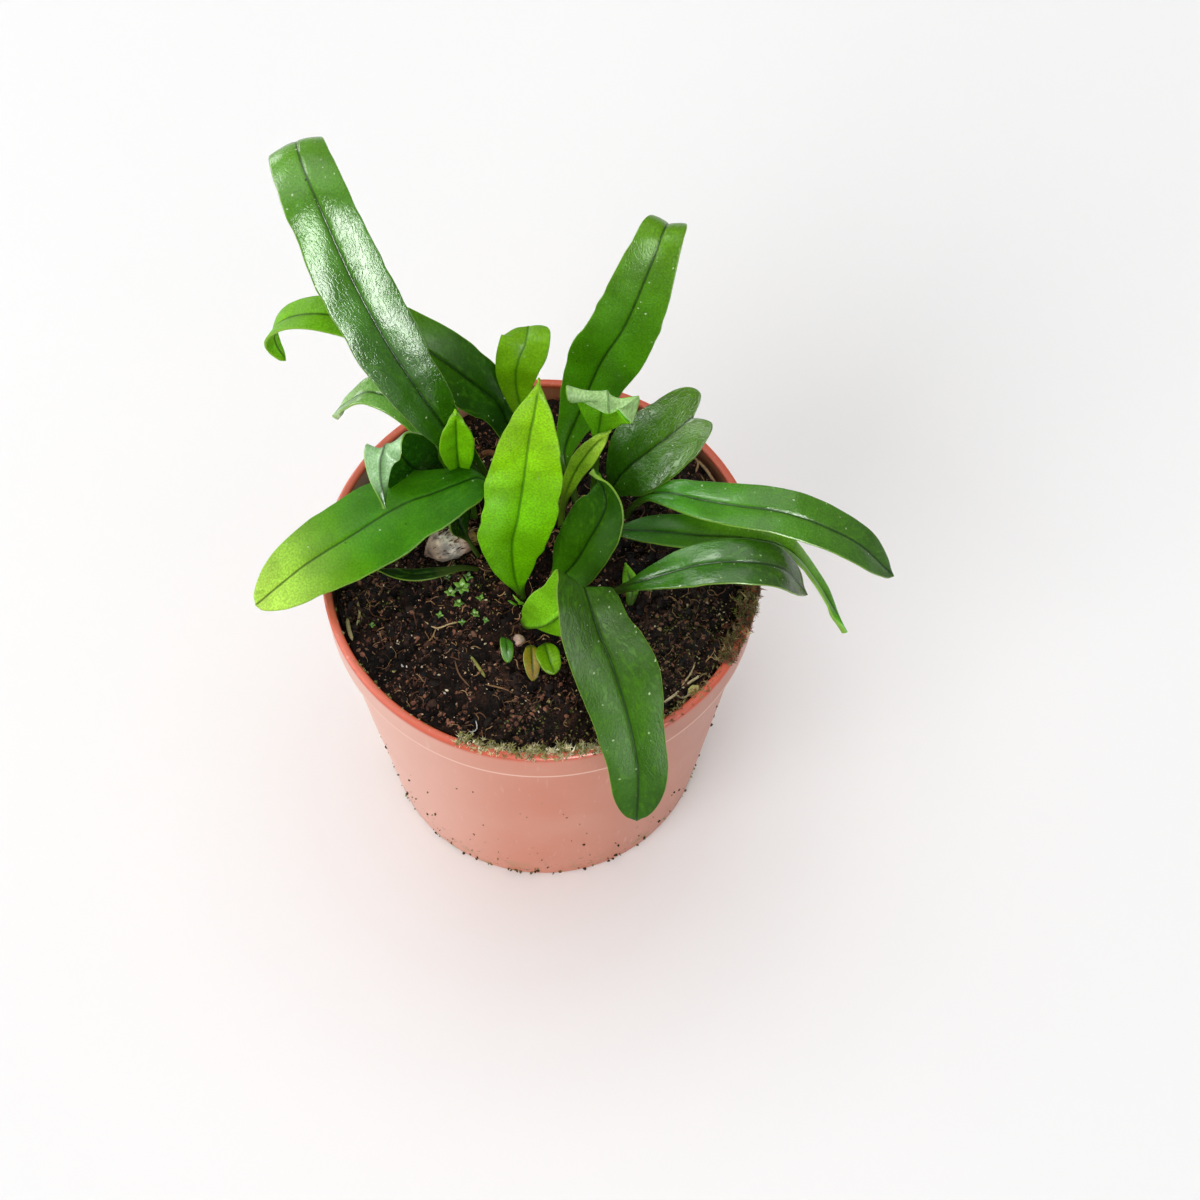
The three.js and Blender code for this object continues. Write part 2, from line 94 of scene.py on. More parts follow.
# Fronds
ROOT_DEPTH = 7
STEM_THICKNESS = 1.9
STEM_SHARE = 0.9
STEM_EDGE = 0.65
RIB_THICKNESS = 1.2
RIB_START = 0.2
RIB_END = 0.6
STALK_END = 0.6         # beyond this share of its length, no narrow place is a stalk
BLADE_THICKNESS = 0.65
BLADE_HALF = 2.5
TIP_WIDTH = 0.7
TIP_BLUNTNESS = 0.04
CLOSING = 0.1           # share of its length over which the tip closes
LOBE_PEAK = 0.45
LOBE_FALL = 2.6
LOBE_START = 0.4        # a notched tip falls back from this share of its length on
ROW_SPACING = 0.62      # distance between cross-sections
FEWEST_ROWS = 24
TIP_ROWS = 14           # more of them where the tip closes
SIDE_COLUMNS = (8, 0.75)  # points from the midrib to the edge: these, and more for each millimetre of width
GROOVE = 0.28           # depth of the midrib's groove, and half its width
GROOVE_HALF = 0.45
RIB_HALF = 0.55         # half width of the midrib's ridge below
RIB_FADING = 0.6        # share of their height that the midrib's groove and ridge lose towards the tip
EDGE_RADIUS = 0.28      # the blade is rounded off over this distance from its edge
RIPPLE = 0.45           # how far the edges rise and dip
ARCH = 0.05             # bulge of each half, in half widths
DIMPLE = 0.07           # height of the blade's small unevenness
WANDER_SIZES = (8.0, 3.2)  # lengths of the waves along an edge, and sizes of the blade's other unevenness
RIPPLE_SIZE = 13.0
CRUMPLE_SIZE = 6.0
DIMPLE_SIZES = (4.0, 2.2)
WRINKLE_SIZE = 1.3
WRINKLE = 0.015         # height of its fine wrinkles
SPECK_SPACING = 2.1     # distance between the places where a speck may be
DARK_SPECKS = 0.012     # share of those that hold a dark one
UNDERSIDE_SHARE = 0.8   # how far the underside's colour replaces the upper face's

# What a frond has that doesn't say otherwise
USUAL = dict(notch=0, roll=[0, 0], left=[1, 1], right=[1, 1], wave=0.03, crumple=0, wrinkle=1,
             specks=[0.1, 0.1], beneath="8cd818")

# `edge` is the direction of a frond's right-hand edge, in degrees from +X towards +Y, `notch` the depth of
# the notch in its tip, and `path` its route from the soil to the tip. At even steps from root to tip,
# `roll` is how far it is turned about the midrib and `fold` how steeply both halves rise, in degrees,
# `widths` its full width, `left` and `right` what that half's width is multiplied by, and `specks` roughly
# the share of places with a pale speck. `wave` is the share by which its width wanders, `crumple` the
# height of its bumps, and `wrinkle` the strength of its wrinkles. `greens` colour the upper face from root
# to tip, and `beneath` the underside. `finish` is its material, where that isn't its slot's.
FRONDS = [
    dict(name="frond_tall_left", slot="dark", edge=25, fold=[10, 13, 10, -2, -14],
         widths=[2, 2.3, 7.2, 13, 15.5, 16.2, 15, 12.5, 8], wave=0.04, crumple=0.12, wrinkle=1.15,
         greens="305e06 2e6206 48860c 68a01c", specks=[0.6, 0.6, 0.35, 0.1],
         path=[(-12.5, 18.5, 88), (-13, 18.5, 95), (-14.3, 18.5, 103), (-18, 19, 111), (-23.5, 19.5, 124.8),
               (-33, 23.7, 145.3), (-41, 30.5, 162.8), (-48.5, 41.5, 178), (-52.5, 51, 181), (-54, 58, 178),
               (-54.5, 61, 170), (-54, 61, 160)]),
    # Painted shade and light: its dark greens near the root stand for shade, and its lime tip for light
    # shining through it.
    dict(name="frond_arched_left", slot="dark", finish="soft", edge=70, roll=[0, 20, 20, 0, 0],
         fold=[10, 14, 10, 8, 8], widths=[2, 2.4, 8, 13.5, 14.5, 13, 10.5, 9, 6],
         greens="163a06 184206 3a6908 70b012 88d010", specks=[0.35, 0.35, 0.1, 0.03],
         path=[(-8, 20, 88), (-7, 23, 94.5), (-7, 26.5, 102.5), (-10, 30, 114.5), (-14.5, 32, 119),
               (-25.5, 35, 129), (-37.5, 38, 136), (-50.5, 39, 139), (-59, 41.5, 133.7), (-63.5, 43, 125),
               (-62, 41, 117.5)]),
    dict(name="frond_narrow_left", slot="mid", edge=70, fold=[12, 12, 8],
         widths=[2, 2, 5, 8, 9.5, 9.5, 8, 5.5, 1.5], crumple=0.2, greens="244f08 64a018 b0e088",
         specks=[0.3, 0.2],
         path=[(-18.5, 20, 88), (-21, 22, 95), (-24.5, 24, 105), (-32, 27.5, 117.5), (-40, 28.5, 122.5),
               (-45.5, 28.5, 118.5), (-49.5, 29.5, 110.5)]),
    dict(name="frond_hooked_left", slot="dark", edge=38, fold=[10, 6, 6, 14],
         widths=[2, 2, 4, 10, 15, 14.5, 10, 5.4, 1.5], crumple=0.1, greens="1c4a06 1c5206 2c6a0c",
         beneath="a8d898", specks=[0.3, 0.2],
         path=[(-22.5, 18.5, 88), (-23.5, 19, 95), (-26.5, 18.5, 101.5), (-29.9, 16.4, 108.2),
               (-33.5, 13.5, 121), (-35.3, 11.7, 125.6), (-36.8, 8.3, 125.6), (-36.8, 3.8, 123.2),
               (-36, -1, 119)]),
    # Painted shade: its greens are darkest at the root, where it lies in shade.
    dict(name="frond_low_left", slot="bright", finish="soft", edge=115, roll=[0, -10, -5, 0, 0],
         fold=[0, -10, -18, -5, 6], widths=[2, 2.2, 4, 9, 15.5, 20, 19.8, 17, 11],
         left=[1, 1.2, 1.35, 1.2, 1.05, 1, 1], right=[1, 1, 1.3, 1.35, 1.25, 1.1, 1, 1], wave=0.035,
         crumple=0.2, greens="1c4402 2a6006 3e800a 5c9808 c4f058", specks=[0.05, 0.03],
         path=[(-10, 6.5, 88), (-10, 9.5, 97), (-10.5, 11.5, 106), (-14.5, 11.5, 112), (-19, 9.5, 113),
               (-26, 7, 112), (-33, 5, 110), (-44.5, -1, 106), (-56.5, -7, 101), (-67, -13.5, 95)]),
    dict(name="leaf_upright_left", slot="bright", edge=5, fold=[20, 25],
         widths=[1.8, 1.8, 1.8, 2.2, 5, 8, 9, 7.5, 1.5], crumple=0.3, greens="60b806 80d00c 8cd80a",
         specks=[0.03, 0.03],
         path=[(-16.5, 14.5, 88), (-17.2, 15.8, 95), (-19, 16.3, 104), (-19.4, 15.6, 112),
               (-19.5, 14.5, 122), (-19, 11.5, 140)]),
    dict(name="leaf_bright_centre", slot="bright", edge=0, fold=[10, 12, 10],
         widths=[2, 2.4, 10, 17, 18.2, 17.5, 14, 9, 1], left=[1, 1, 1, 1.04, 0.96, 1.05, 0.97, 1.02, 1],
         wave=0.07, crumple=0.25, greens="5cb004 74c404 88dc04 a4e80c 9cd814", specks=[0.03, 0.03],
         path=[(-4.5, -7.5, 88), (-6.2, -5.5, 96), (-6.7, -2.8, 105.5), (-5.2, 0, 114), (-3.8, 3.5, 124),
               (-2.4, 6.5, 137), (-1, 8.5, 146), (0, 11, 154)]),
    dict(name="leaf_back_centre", slot="bright", edge=0, roll=[0, 0, 12], fold=[14, 14, 6],
         widths=[1.8, 1.8, 1.8, 2, 3.4, 6.2, 9.6, 11.8, 11.8], crumple=0.35, greens="60a806 78b008 78b00a",
         specks=[0.02, 0.02],
         path=[(-1.5, 20, 88), (-2, 24.5, 98), (-4.5, 30, 111), (-6, 32.5, 120), (-5.5, 34, 127),
               (-3.5, 37, 131.5), (-3, 42, 130)]),
    dict(name="frond_tall_right", slot="mid", finish="satin", edge=-18, fold=[20, 18, 12],
         widths=[2, 2.2, 7, 13.5, 17, 16.3, 14.2, 10, 5], wave=0.04, crumple=0.15, wrinkle=1.4,
         greens="4c8c08 4c8e06 4e8c06 62900c", specks=[0.4, 0.3, 0.2, 0.1],
         path=[(8, 20, 88), (6.5, 23, 95), (5.5, 26.5, 101), (9, 30.5, 111.6), (14, 34, 127.5),
               (19.5, 35, 141.5), (25, 38.5, 160), (27.5, 43, 165.5), (29, 48, 162), (30, 50, 154)]),
    dict(name="leaf_folded_top", slot="bright", edge=-16, roll=[0, 14], fold=[20, 20, 22, 22],
         widths=[1.8, 1.8, 1.8, 1.8, 2, 4.5, 11, 17.5, 17], wave=0.08, crumple=0.3,
         greens="6cc010 88d81c 88d81c", beneath="ccecaa", specks=[0.02, 0.02],
         path=[(12.3, 18, 88), (12.5, 19.3, 98), (13, 20.5, 110.5), (14, 21.5, 122.5), (14.8, 22, 130),
               (15.2, 21.2, 134.6), (15.5, 18.8, 134.8), (15.7, 17, 132.2)]),
    dict(name="frond_notched", slot="dark", edge=-60, notch=4.5, fold=[14, 10, 6],
         widths=[2, 2, 4, 11, 17, 19.5, 19.5, 19, 18], crumple=0.25, wrinkle=2.2,
         greens="2f6208 387006 4c760c",
         path=[(16.5, 20.5, 88), (17.5, 20, 96), (21, 20, 104), (25.5, 20.5, 110), (31, 21.5, 116),
               (35, 23, 120), (39, 24, 123)]),
    # Painted light: its greens are raised to a very bright lime, beyond the leaf's own light green, against
    # the shade cast by leaf_bright_centre.
    dict(name="leaf_narrow_centre", slot="bright", edge=-20, fold=[30, 26],
         widths=[1.6, 1.6, 1.6, 2.2, 4, 5, 6, 5, 1], crumple=0.3, greens="b0f024 c4f838 d4fc50",
         specks=[0.02, 0.02],
         path=[(4.5, 13, 88), (5, 14.5, 95), (7.5, 16, 106), (11.5, 16.5, 117), (16, 17, 124)]),
    dict(name="leaf_round_centre", slot="mid", finish="soft", edge=-45, fold=[14, 10],
         widths=[2, 2, 4.5, 12, 14, 15, 14, 9.5, 1], crumple=0.3, greens="44840a 366a04 204c04",
         specks=[0.08, 0.05],
         path=[(1.8, -5.5, 88), (3.8, -5.3, 93), (7.8, -4.2, 99), (10.8, -2.8, 106), (13.8, -0.6, 112.5),
               (15.5, 2, 117.5), (14.3, 5, 121), (11.5, 7.2, 122)]),
    dict(name="frond_long_right", slot="mid", edge=-110, fold=[14, 3, 4, 6],
         widths=[2, 2, 3.5, 8.5, 11.5, 12, 11.8, 10, 5.5], greens="2e720e 3c880c 4a8612 305c0a",
         specks=[0.25, 0.35, 0.3],
         path=[(20, 15, 88), (21.5, 14, 95), (25.5, 11.5, 105), (31, 7.8, 111.5), (37, 4.2, 114.8),
               (46, 0.5, 118), (55.5, -1, 118), (64.5, -2.5, 115), (74.5, -4, 108), (83, -6.5, 98)]),
    dict(name="frond_drooping_right", slot="mid", finish="satin", edge=-110,
         roll=[0, 0, 0, 30, 0], fold=[14, 14, 10], widths=[2, 2.4, 7.5, 9.5, 9, 8, 7.5, 5, 0.8],
         greens="2e6a0e 3a7410 70a820 54a80c", specks=[0.3, 0.2],
         path=[(15.5, 10.5, 88), (19.5, 8, 94), (28, 4.5, 99.5), (37.5, 1.5, 103), (48, -0.5, 105),
               (57.5, -2.5, 104), (65, -6, 95), (73, -13.5, 83)]),
    dict(name="frond_low_right", slot="dark", edge=-95, fold=[12, 4, 2],
         widths=[2, 2, 3.5, 7.5, 11.5, 12, 11, 8, 3], crumple=0.2, greens="2c6c0c 3a7c0c 30600a 3a4a14",
         specks=[0.2, 0.35, 0.3],
         path=[(16, -6, 88), (18.5, -7.5, 93), (23.5, -10, 101), (30, -11, 107), (38, -11.5, 112),
               (46, -12, 114), (54.5, -11.5, 111), (59.5, -11, 104), (62.5, -10.5, 96)]),
    dict(name="frond_front", slot="dark", finish="soft", edge=180,
         roll=[35, 35, 25, 18, 0, 0, 5], fold=[6, 4, 6], widths=[2.4, 4, 15, 14.5, 17.5, 18, 15.5, 13, 10],
         left=[1, 1, 1, 0.95, 0.84, 1.1, 1, 1, 1], crumple=0.15, wrinkle=1.6,
         greens="6cb414 3c6c10 365c12 3c6c10 306006", specks=[0.3, 0.4, 0.25],
         path=[(-3, -15, 88), (-3.2, -16, 92), (-1.3, -19.6, 98), (2.3, -22, 104), (6, -22.2, 110),
               (8.2, -21.8, 115.5), (10, -21.8, 119), (11.4, -25.8, 118.8), (13.3, -30.4, 115),
               (16.6, -36.5, 109.5), (19.6, -44, 104), (21.6, -50.5, 99), (22.8, -55.9, 91.5),
               (22.6, -60.5, 78)]),
    dict(name="leaf_tiny_dark", slot="dark", edge=160, fold=[20, 20],
         widths=[1.1, 1.1, 1.4, 3.2, 2.4], greens="3a7a22 4c8424",
         path=[(-8.5, -19, 88), (-8.4, -20.5, 92), (-7.8, -24, 93.8), (-7.5, -27.5, 93.6)]),
    dict(name="leaf_tiny_brown", slot="dry", edge=180, fold=[10, 10],
         widths=[1.1, 1.1, 1.8, 4.2, 2.4], greens="a8b018 9c7c14",
         path=[(-2.5, -20.5, 88), (-2.2, -23, 92.5), (-1.8, -28, 93.8), (-1.6, -32, 93)]),
    dict(name="leaf_tiny_green", slot="bright", edge=200, fold=[10, 10],
         widths=[1.1, 1.1, 1.8, 5.6, 4], greens="84bc12 88c012",
         path=[(1.2, -19.5, 88), (1.2, -22.5, 92.5), (2.2, -27.2, 94.4), (3.4, -30.6, 93.6)]),
    dict(name="leaf_small_right", slot="bright", finish="soft", edge=0, fold=[10, 10],
         widths=[1.4, 1.4, 2.4, 4, 1], greens="84cc28 78c020",
         path=[(21.2, -9.5, 88), (21.5, -7.8, 91), (21.4, -6.3, 93), (20, -2.8, 97)]),
    dict(name="leaf_on_soil", slot="dark", finish="soft", edge=90, fold=[10, 10],
         widths=[1.2, 1.2, 1.3, 2.2, 3.4, 3, 1.2], greens="142c08 1a3608",
         path=[(-14.5, 0.5, 88), (-19, -1.5, 92.5), (-24.5, -4, 94.5), (-31, -5, 95), (-39, -3, 94)]),
    dict(name="leaf_under_left", slot="dark", edge=60, fold=[10, 10],
         widths=[1.2, 1.2, 1.2, 1.2, 1.4, 4.5, 9, 9, 3], greens="244e08 204608",
         path=[(-15, 4, 88), (-17, 4.5, 94), (-19.5, 5.5, 101), (-19.5, 8, 106), (-17.5, 10, 108)]),
]

# Rhizomes: radii and colours at even steps along their routes, and how many papery scales lie on them
RHIZOMES = [
    dict(name="rhizome_left", radii=[0, 2.7, 3.6, 3.8, 3.4, 2.6, 0],
         tones="6a4e38 b09680 e4d8c8 a87c54 b0b448", scales=110,
         path=[(-28.5, 4.5, 88), (-24.5, 5.8, 89.6), (-19.5, 7.4, 90.2), (-15, 9, 89.2)]),
    dict(name="rhizome_front", radii=[0, 1.4, 1.6, 1.4, 0], tones="8a6a4a c09a88 c8a898", scales=8,
         path=[(-5, -19, 85), (-5.2, -19.3, 88.5), (-5.4, -19.6, 91.5)]),
]

# Basic tools

rng = np.random.default_rng(7)


def linear(tone):
    """Linear red, green and blue of a colour written as six hexadecimal digits."""
    values = np.array([int(tone[i:i + 2], 16) for i in (0, 2, 4)]) / 255
    return np.where(values <= 0.04045, values / 12.92, ((values + 0.055) / 1.055) ** 2.4)


def palette(tones):
    """Linear colours of hexadecimal ones with spaces between them, one to a row."""
    return np.array([linear(tone) for tone in tones.split()])


def smoothstep(x, low, high):
    t = np.clip((x - low) / (high - low), 0, 1)
    return t * t * (3 - 2 * t)


def lerp(a, b, t):
    return a + (b - a) * t


def unit(v):
    return v / np.linalg.norm(v, axis=-1, keepdims=True)


def spline(values, place):
    """Catmull-Rom curve through values[1:-1], at places counted from the first of them."""
    i = np.clip(np.floor(place).astype(int), 0, len(values) - 4)
    t = (place - i).reshape(-1, *[1] * (values.ndim - 1))
    a, b, c, d = (values[i + k] for k in range(4))
    return b + 0.5 * t * (c - a + t * (2 * a - 5 * b + 4 * c - d + t * (3 * (b - c) + d - a)))


def evenly(values, s):
    """A smooth curve through values that stand at even steps from 0 to 1."""
    values = np.asarray(values, float)
    return spline(np.concatenate([values[:1], values, values[-1:]]), np.asarray(s) * (len(values) - 1))


def along_route(points, shares):
    """Positions and directions at shares of the length of a smooth curve through the points."""
    p = np.asarray(points, float)
    p = np.vstack([2 * p[0] - p[1], p, 2 * p[-1] - p[-2]])
    steps = len(p) - 3
    fineness = 60
    places = np.linspace(0, steps, fineness * steps + 1)
    fine = spline(p, places)
    run = np.concatenate([[0], np.cumsum(np.linalg.norm(np.diff(fine, axis=0), axis=1))])
    at = np.interp(np.asarray(shares) * run[-1], run, places)
    nearby = 1e-4
    ahead = spline(p, np.minimum(at + nearby, steps))
    behind = spline(p, np.maximum(at - nearby, 0))
    return spline(p, at), unit(ahead - behind), run[-1]


HASH = (374761393, 668265263, 1274126177)  # large primes that scatter the noise's values
SCRAMBLE = 1103515245
SEED_SHIFT = 31.7       # the next seed takes its noise from this far away, in features


def noise(points, size, seed=0):
    """Smooth noise from -1 to 1 at the points, with features of that size."""
    q = np.asarray(points, float) / size + SEED_SHIFT * seed
    cell = np.floor(q).astype(np.int64)
    t = q - cell
    t = t * t * (3 - 2 * t)
    total = 0
    for corner in product((0, 1), repeat=3):
        n = ((cell + corner) * HASH).sum(-1)
        n = (n ^ (n >> 13)) * SCRAMBLE
        value = ((n ^ (n >> 16)) & 0xFFFF) / 32767.5 - 1
        total = total + value * np.where(corner, t, 1 - t).prod(-1)
    return total


def stack(*columns):
    return np.stack(np.broadcast_arrays(*columns), -1)


def round_the_circle(count):
    """That many even steps of a full turn."""
    return 2 * np.pi * np.arange(count) / count


def on_circle(radius, angle, z):
    return stack(radius * np.cos(angle), radius * np.sin(angle), z)


def around_route(along, lean, sides, flat=1):
    """Directions from a route to the points around it, the first of them across the route and `lean`."""
    angles = round_the_circle(sides)[:, None]
    side = unit(np.cross(along, lean))
    up = np.cross(side, along)
    return side[:, None] * np.cos(angles) + flat * up[:, None] * np.sin(angles)


def bands(rows, sides):
    """Four-cornered faces between neighbouring rings of that many points."""
    j = np.arange(sides)
    k = (j + 1) % sides
    a = (np.arange(rows - 1) * sides)[:, None]
    return stack(a + j, a + k, a + sides + k, a + sides + j).reshape(-1, 4).tolist()


def turned(faces):
    """The same faces with their other side out."""
    return [face[:1] + face[:0:-1] for face in faces]


def turned_body(rows, sides):
    """Bands, and fans from the first ring and the last one to the two points that follow them all."""
    centre = rows * sides
    last = centre - sides
    steps = [(j, (j + 1) % sides) for j in range(sides)]
    return (bands(rows, sides) + [[centre, k, j] for j, k in steps]
            + [[centre + 1, last + j, last + k] for j, k in steps])


def tube(rows, sides):
    """Faces of a tube with flat ends."""
    ring = list(range(sides))
    return turned(bands(rows, sides)) + [ring, [(rows - 1) * sides + j for j in ring[::-1]]]


def new_piece(name, points, faces, material, slot, tones=None, smooth=True, **fields):
    """A mesh piece that rides on the part, with its colours and other values stored at its points."""
    mesh = bpy.data.meshes.new(name)
    points = np.reshape(points, (-1, 3)) * MM
    mesh.from_pydata(points.tolist(), [], [list(map(int, face)) for face in faces])
    if smooth:
        mesh.polygons.foreach_set("use_smooth", [True] * len(mesh.polygons))
    if tones is not None:
        rgba = np.concatenate([np.reshape(tones, (-1, 3)), np.ones((len(points), 1))], 1)
        mesh.attributes.new("tone", "FLOAT_COLOR", "POINT").data.foreach_set("color", rgba.ravel())
    for field, values in fields.items():
        mesh.attributes.new(field, "FLOAT_VECTOR", "POINT").data.foreach_set("vector", np.ravel(values))
    mesh.materials.append(material)
    piece = bpy.data.objects.new(name, mesh)
    bpy.context.scene.collection.objects.link(piece)
    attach(piece, "root")
    return piece


# Materials

class Shader:
    """A material built by short calls, most of which add a node and return its output socket."""

    def __init__(self, name):
        self.material = bpy.data.materials.new(name)
        self.material.use_nodes = True
        self.tree = self.material.node_tree
        self.tree.nodes.clear()

    def node(self, kind, inputs, output=0, **settings):
        made = self.tree.nodes.new("ShaderNode" + kind)
        for key, value in settings.items():
            setattr(made, key, value)
        for key, value in inputs.items():
            if isinstance(value, bpy.types.NodeSocket):
                self.tree.links.new(value, made.inputs[key])
            else:
                made.inputs[key].default_value = value
        return made.outputs[output]

    def math(self, operation, a, b=0.0, clamp=False):
        return self.node("Math", {0: a, 1: b}, operation=operation, use_clamp=clamp)

    def plus(self, a, b):
        return self.math("ADD", a, b)

    def minus(self, a, b):
        return self.math("SUBTRACT", a, b)

    def times(self, a, b):
        return self.math("MULTIPLY", a, b)

    def shaded(self, colour, shade):
        return self.mix(colour, self.join(shade, shade, shade), 1.0, "MULTIPLY")

    def field(self, name, output="Vector"):
        return self.node("Attribute", {}, output, attribute_name=name)

    def split(self, vector):
        made = self.tree.nodes.new("ShaderNodeSeparateXYZ")
        self.tree.links.new(vector, made.inputs[0])
        return made.outputs

    def join(self, x, y, z=0.0):
        return self.node("CombineXYZ", {0: x, 1: y, 2: z})

    def place(self):
        """The point's place in millimetres."""
        metres = self.node("TexCoord", {}, "Object")
        return self.node("VectorMath", {0: metres, 3: 1 / MM}, operation="SCALE")

    def noise(self, vector, size, detail=3.0, roughness=0.5):
        return self.node("TexNoise", {"Vector": vector, "Scale": 1 / size, "Detail": detail,
                                      "Roughness": roughness})

    def ramp(self, value, low, high, to_low=0.0, to_high=1.0):
        return self.node("MapRange", {0: value, 1: low, 2: high, 3: to_low, 4: to_high},
                         interpolation_type="SMOOTHSTEP")

    def mix(self, a, b, share, blend="MIX"):
        def colour(c):
            return (*linear(c), 1) if isinstance(c, str) else c
        inputs = {0: share, 6: colour(a), 7: colour(b)}
        return self.node("Mix", inputs, 2, data_type="RGBA", blend_type=blend)

    def bump(self, height, distance, strength=1.0, normal=None):
        inputs = {"Height": height, "Distance": distance * MM, "Strength": strength}
        if normal is not None:
            inputs["Normal"] = normal
        return self.node("Bump", inputs)

    def surface(self, **inputs):
        named = {key.replace("_", " "): value for key, value in inputs.items()}
        return self.node("BsdfPrincipled", named)

    def done(self, shader):
        out = self.tree.nodes.new("ShaderNodeOutputMaterial")
        self.tree.links.new(shader, out.inputs["Surface"])
        return self.material


def frond_material(name, roughness, specular, through, rib="0a2204", rib_share=0.7):
    """A waxy blade with fine wrinkles, a dark midrib, a pale edge and scattered specks, duller below."""
    sh = Shader(name)
    x, y, edge = sh.split(sh.field("place"))
    stem, under, seed = sh.split(sh.field("look"))
    specks, wrinkle, _ = sh.split(sh.field("finish"))
    side = sh.math("ABSOLUTE", x)
    own = sh.times(seed, 40.0)
    slanting = sh.minus(y, sh.times(side, 0.7))
    wrinkles = sh.noise(sh.join(sh.times(x, 1.4), sh.times(slanting, 0.8), own), 1.5, 3.0)
    creases = sh.ramp(sh.math("ABSOLUTE", sh.minus(wrinkles, 0.5)), 0.0, 0.09)
    broad = sh.noise(sh.join(x, y, own), 8.0, 2.0)
    grain = sh.noise(sh.join(x, y, own), 0.5, 2.0)
    shade = sh.times(sh.ramp(broad, 0.3, 0.7, 0.85, 1.15), sh.ramp(grain, 0.3, 0.7, 0.8, 1.2))
    colour = sh.shaded(sh.field("tone", "Color"), shade)
    colour = sh.mix(colour, sh.mix(colour, "5c9c10", 0.35), sh.ramp(wrinkles, 0.5, 0.75))
    rib_line = sh.times(sh.ramp(side, 0.15, 0.42, 1.0, 0.0), sh.ramp(edge, 0.4, 1.8))
    colour = sh.mix(colour, sh.mix(colour, rib, rib_share), rib_line)
    colour = sh.mix(colour, sh.mix(colour, "9cc44a", 0.6), sh.ramp(edge, 0.06, 0.26, 1.0, 0.0))
    colour = sh.mix(colour, "44581f", sh.times(stem, 0.8))

    drift = sh.times(grain, 0.7)
    cells = sh.tree.nodes.new("ShaderNodeTexVoronoi")
    cells.voronoi_dimensions = "2D"
    sh.tree.links.new(sh.join(sh.plus(sh.plus(x, own), drift), sh.plus(y, drift)),
                      cells.inputs["Vector"])
    cells.inputs["Scale"].default_value = 1 / SPECK_SPACING
    chance, size, pallor = sh.split(cells.outputs["Color"])
    radius = sh.ramp(size, 0.3, 1.0, 0.035, 0.12)
    dots = sh.minus(radius, cells.outputs["Distance"])
    dots = sh.math("MULTIPLY", dots, 30.0, True)
    patchy = sh.times(specks, sh.ramp(broad, 0.3, 0.65, 1.5, 0.4))
    pale = sh.times(dots, sh.math("LESS_THAN", chance, patchy))
    pale = sh.times(pale, sh.minus(1.0, under))
    colour = sh.mix(colour, "cce0ac", sh.times(pale, sh.ramp(pallor, 0.0, 1.0, 0.25, 1.0)))
    dark = sh.times(dots, sh.math("GREATER_THAN", chance, 1 - DARK_SPECKS))
    colour = sh.mix(colour, "121406", sh.times(dark, 0.9))

    rough = sh.ramp(broad, 0.25, 0.75, roughness - 0.03, roughness + 0.05)
    rough = sh.plus(rough, sh.times(under, 0.15))
    normal = sh.bump(sh.times(creases, wrinkle), 0.022)
    normal = sh.bump(grain, 0.03, 0.5, normal)
    blade = sh.surface(Base_Color=colour, Roughness=rough, Normal=normal, Specular_IOR_Level=specular)
    lit = sh.node("BsdfTranslucent", {"Color": sh.mix(colour, "a8e000", 0.4)})
    return sh.done(sh.node("MixShader", {0: through, 1: blade, 2: lit}))


def toned_material(name, roughness, size, bump, contrast, specular=0.5):
    """A rough natural surface in the colours stored at its points, mottled and bumpy."""
    sh = Shader(name)
    place = sh.place()
    mottle = sh.noise(place, size, 4.0, 0.6)
    shade = sh.ramp(mottle, 0.3, 0.7, 1 - contrast, 1 + contrast)
    colour = sh.shaded(sh.field("tone", "Color"), shade)
    normal = sh.bump(mottle, bump, 0.8)
    surface = sh.surface(Base_Color=colour, Roughness=roughness, Normal=normal, Specular_IOR_Level=specular)
    return sh.done(surface)


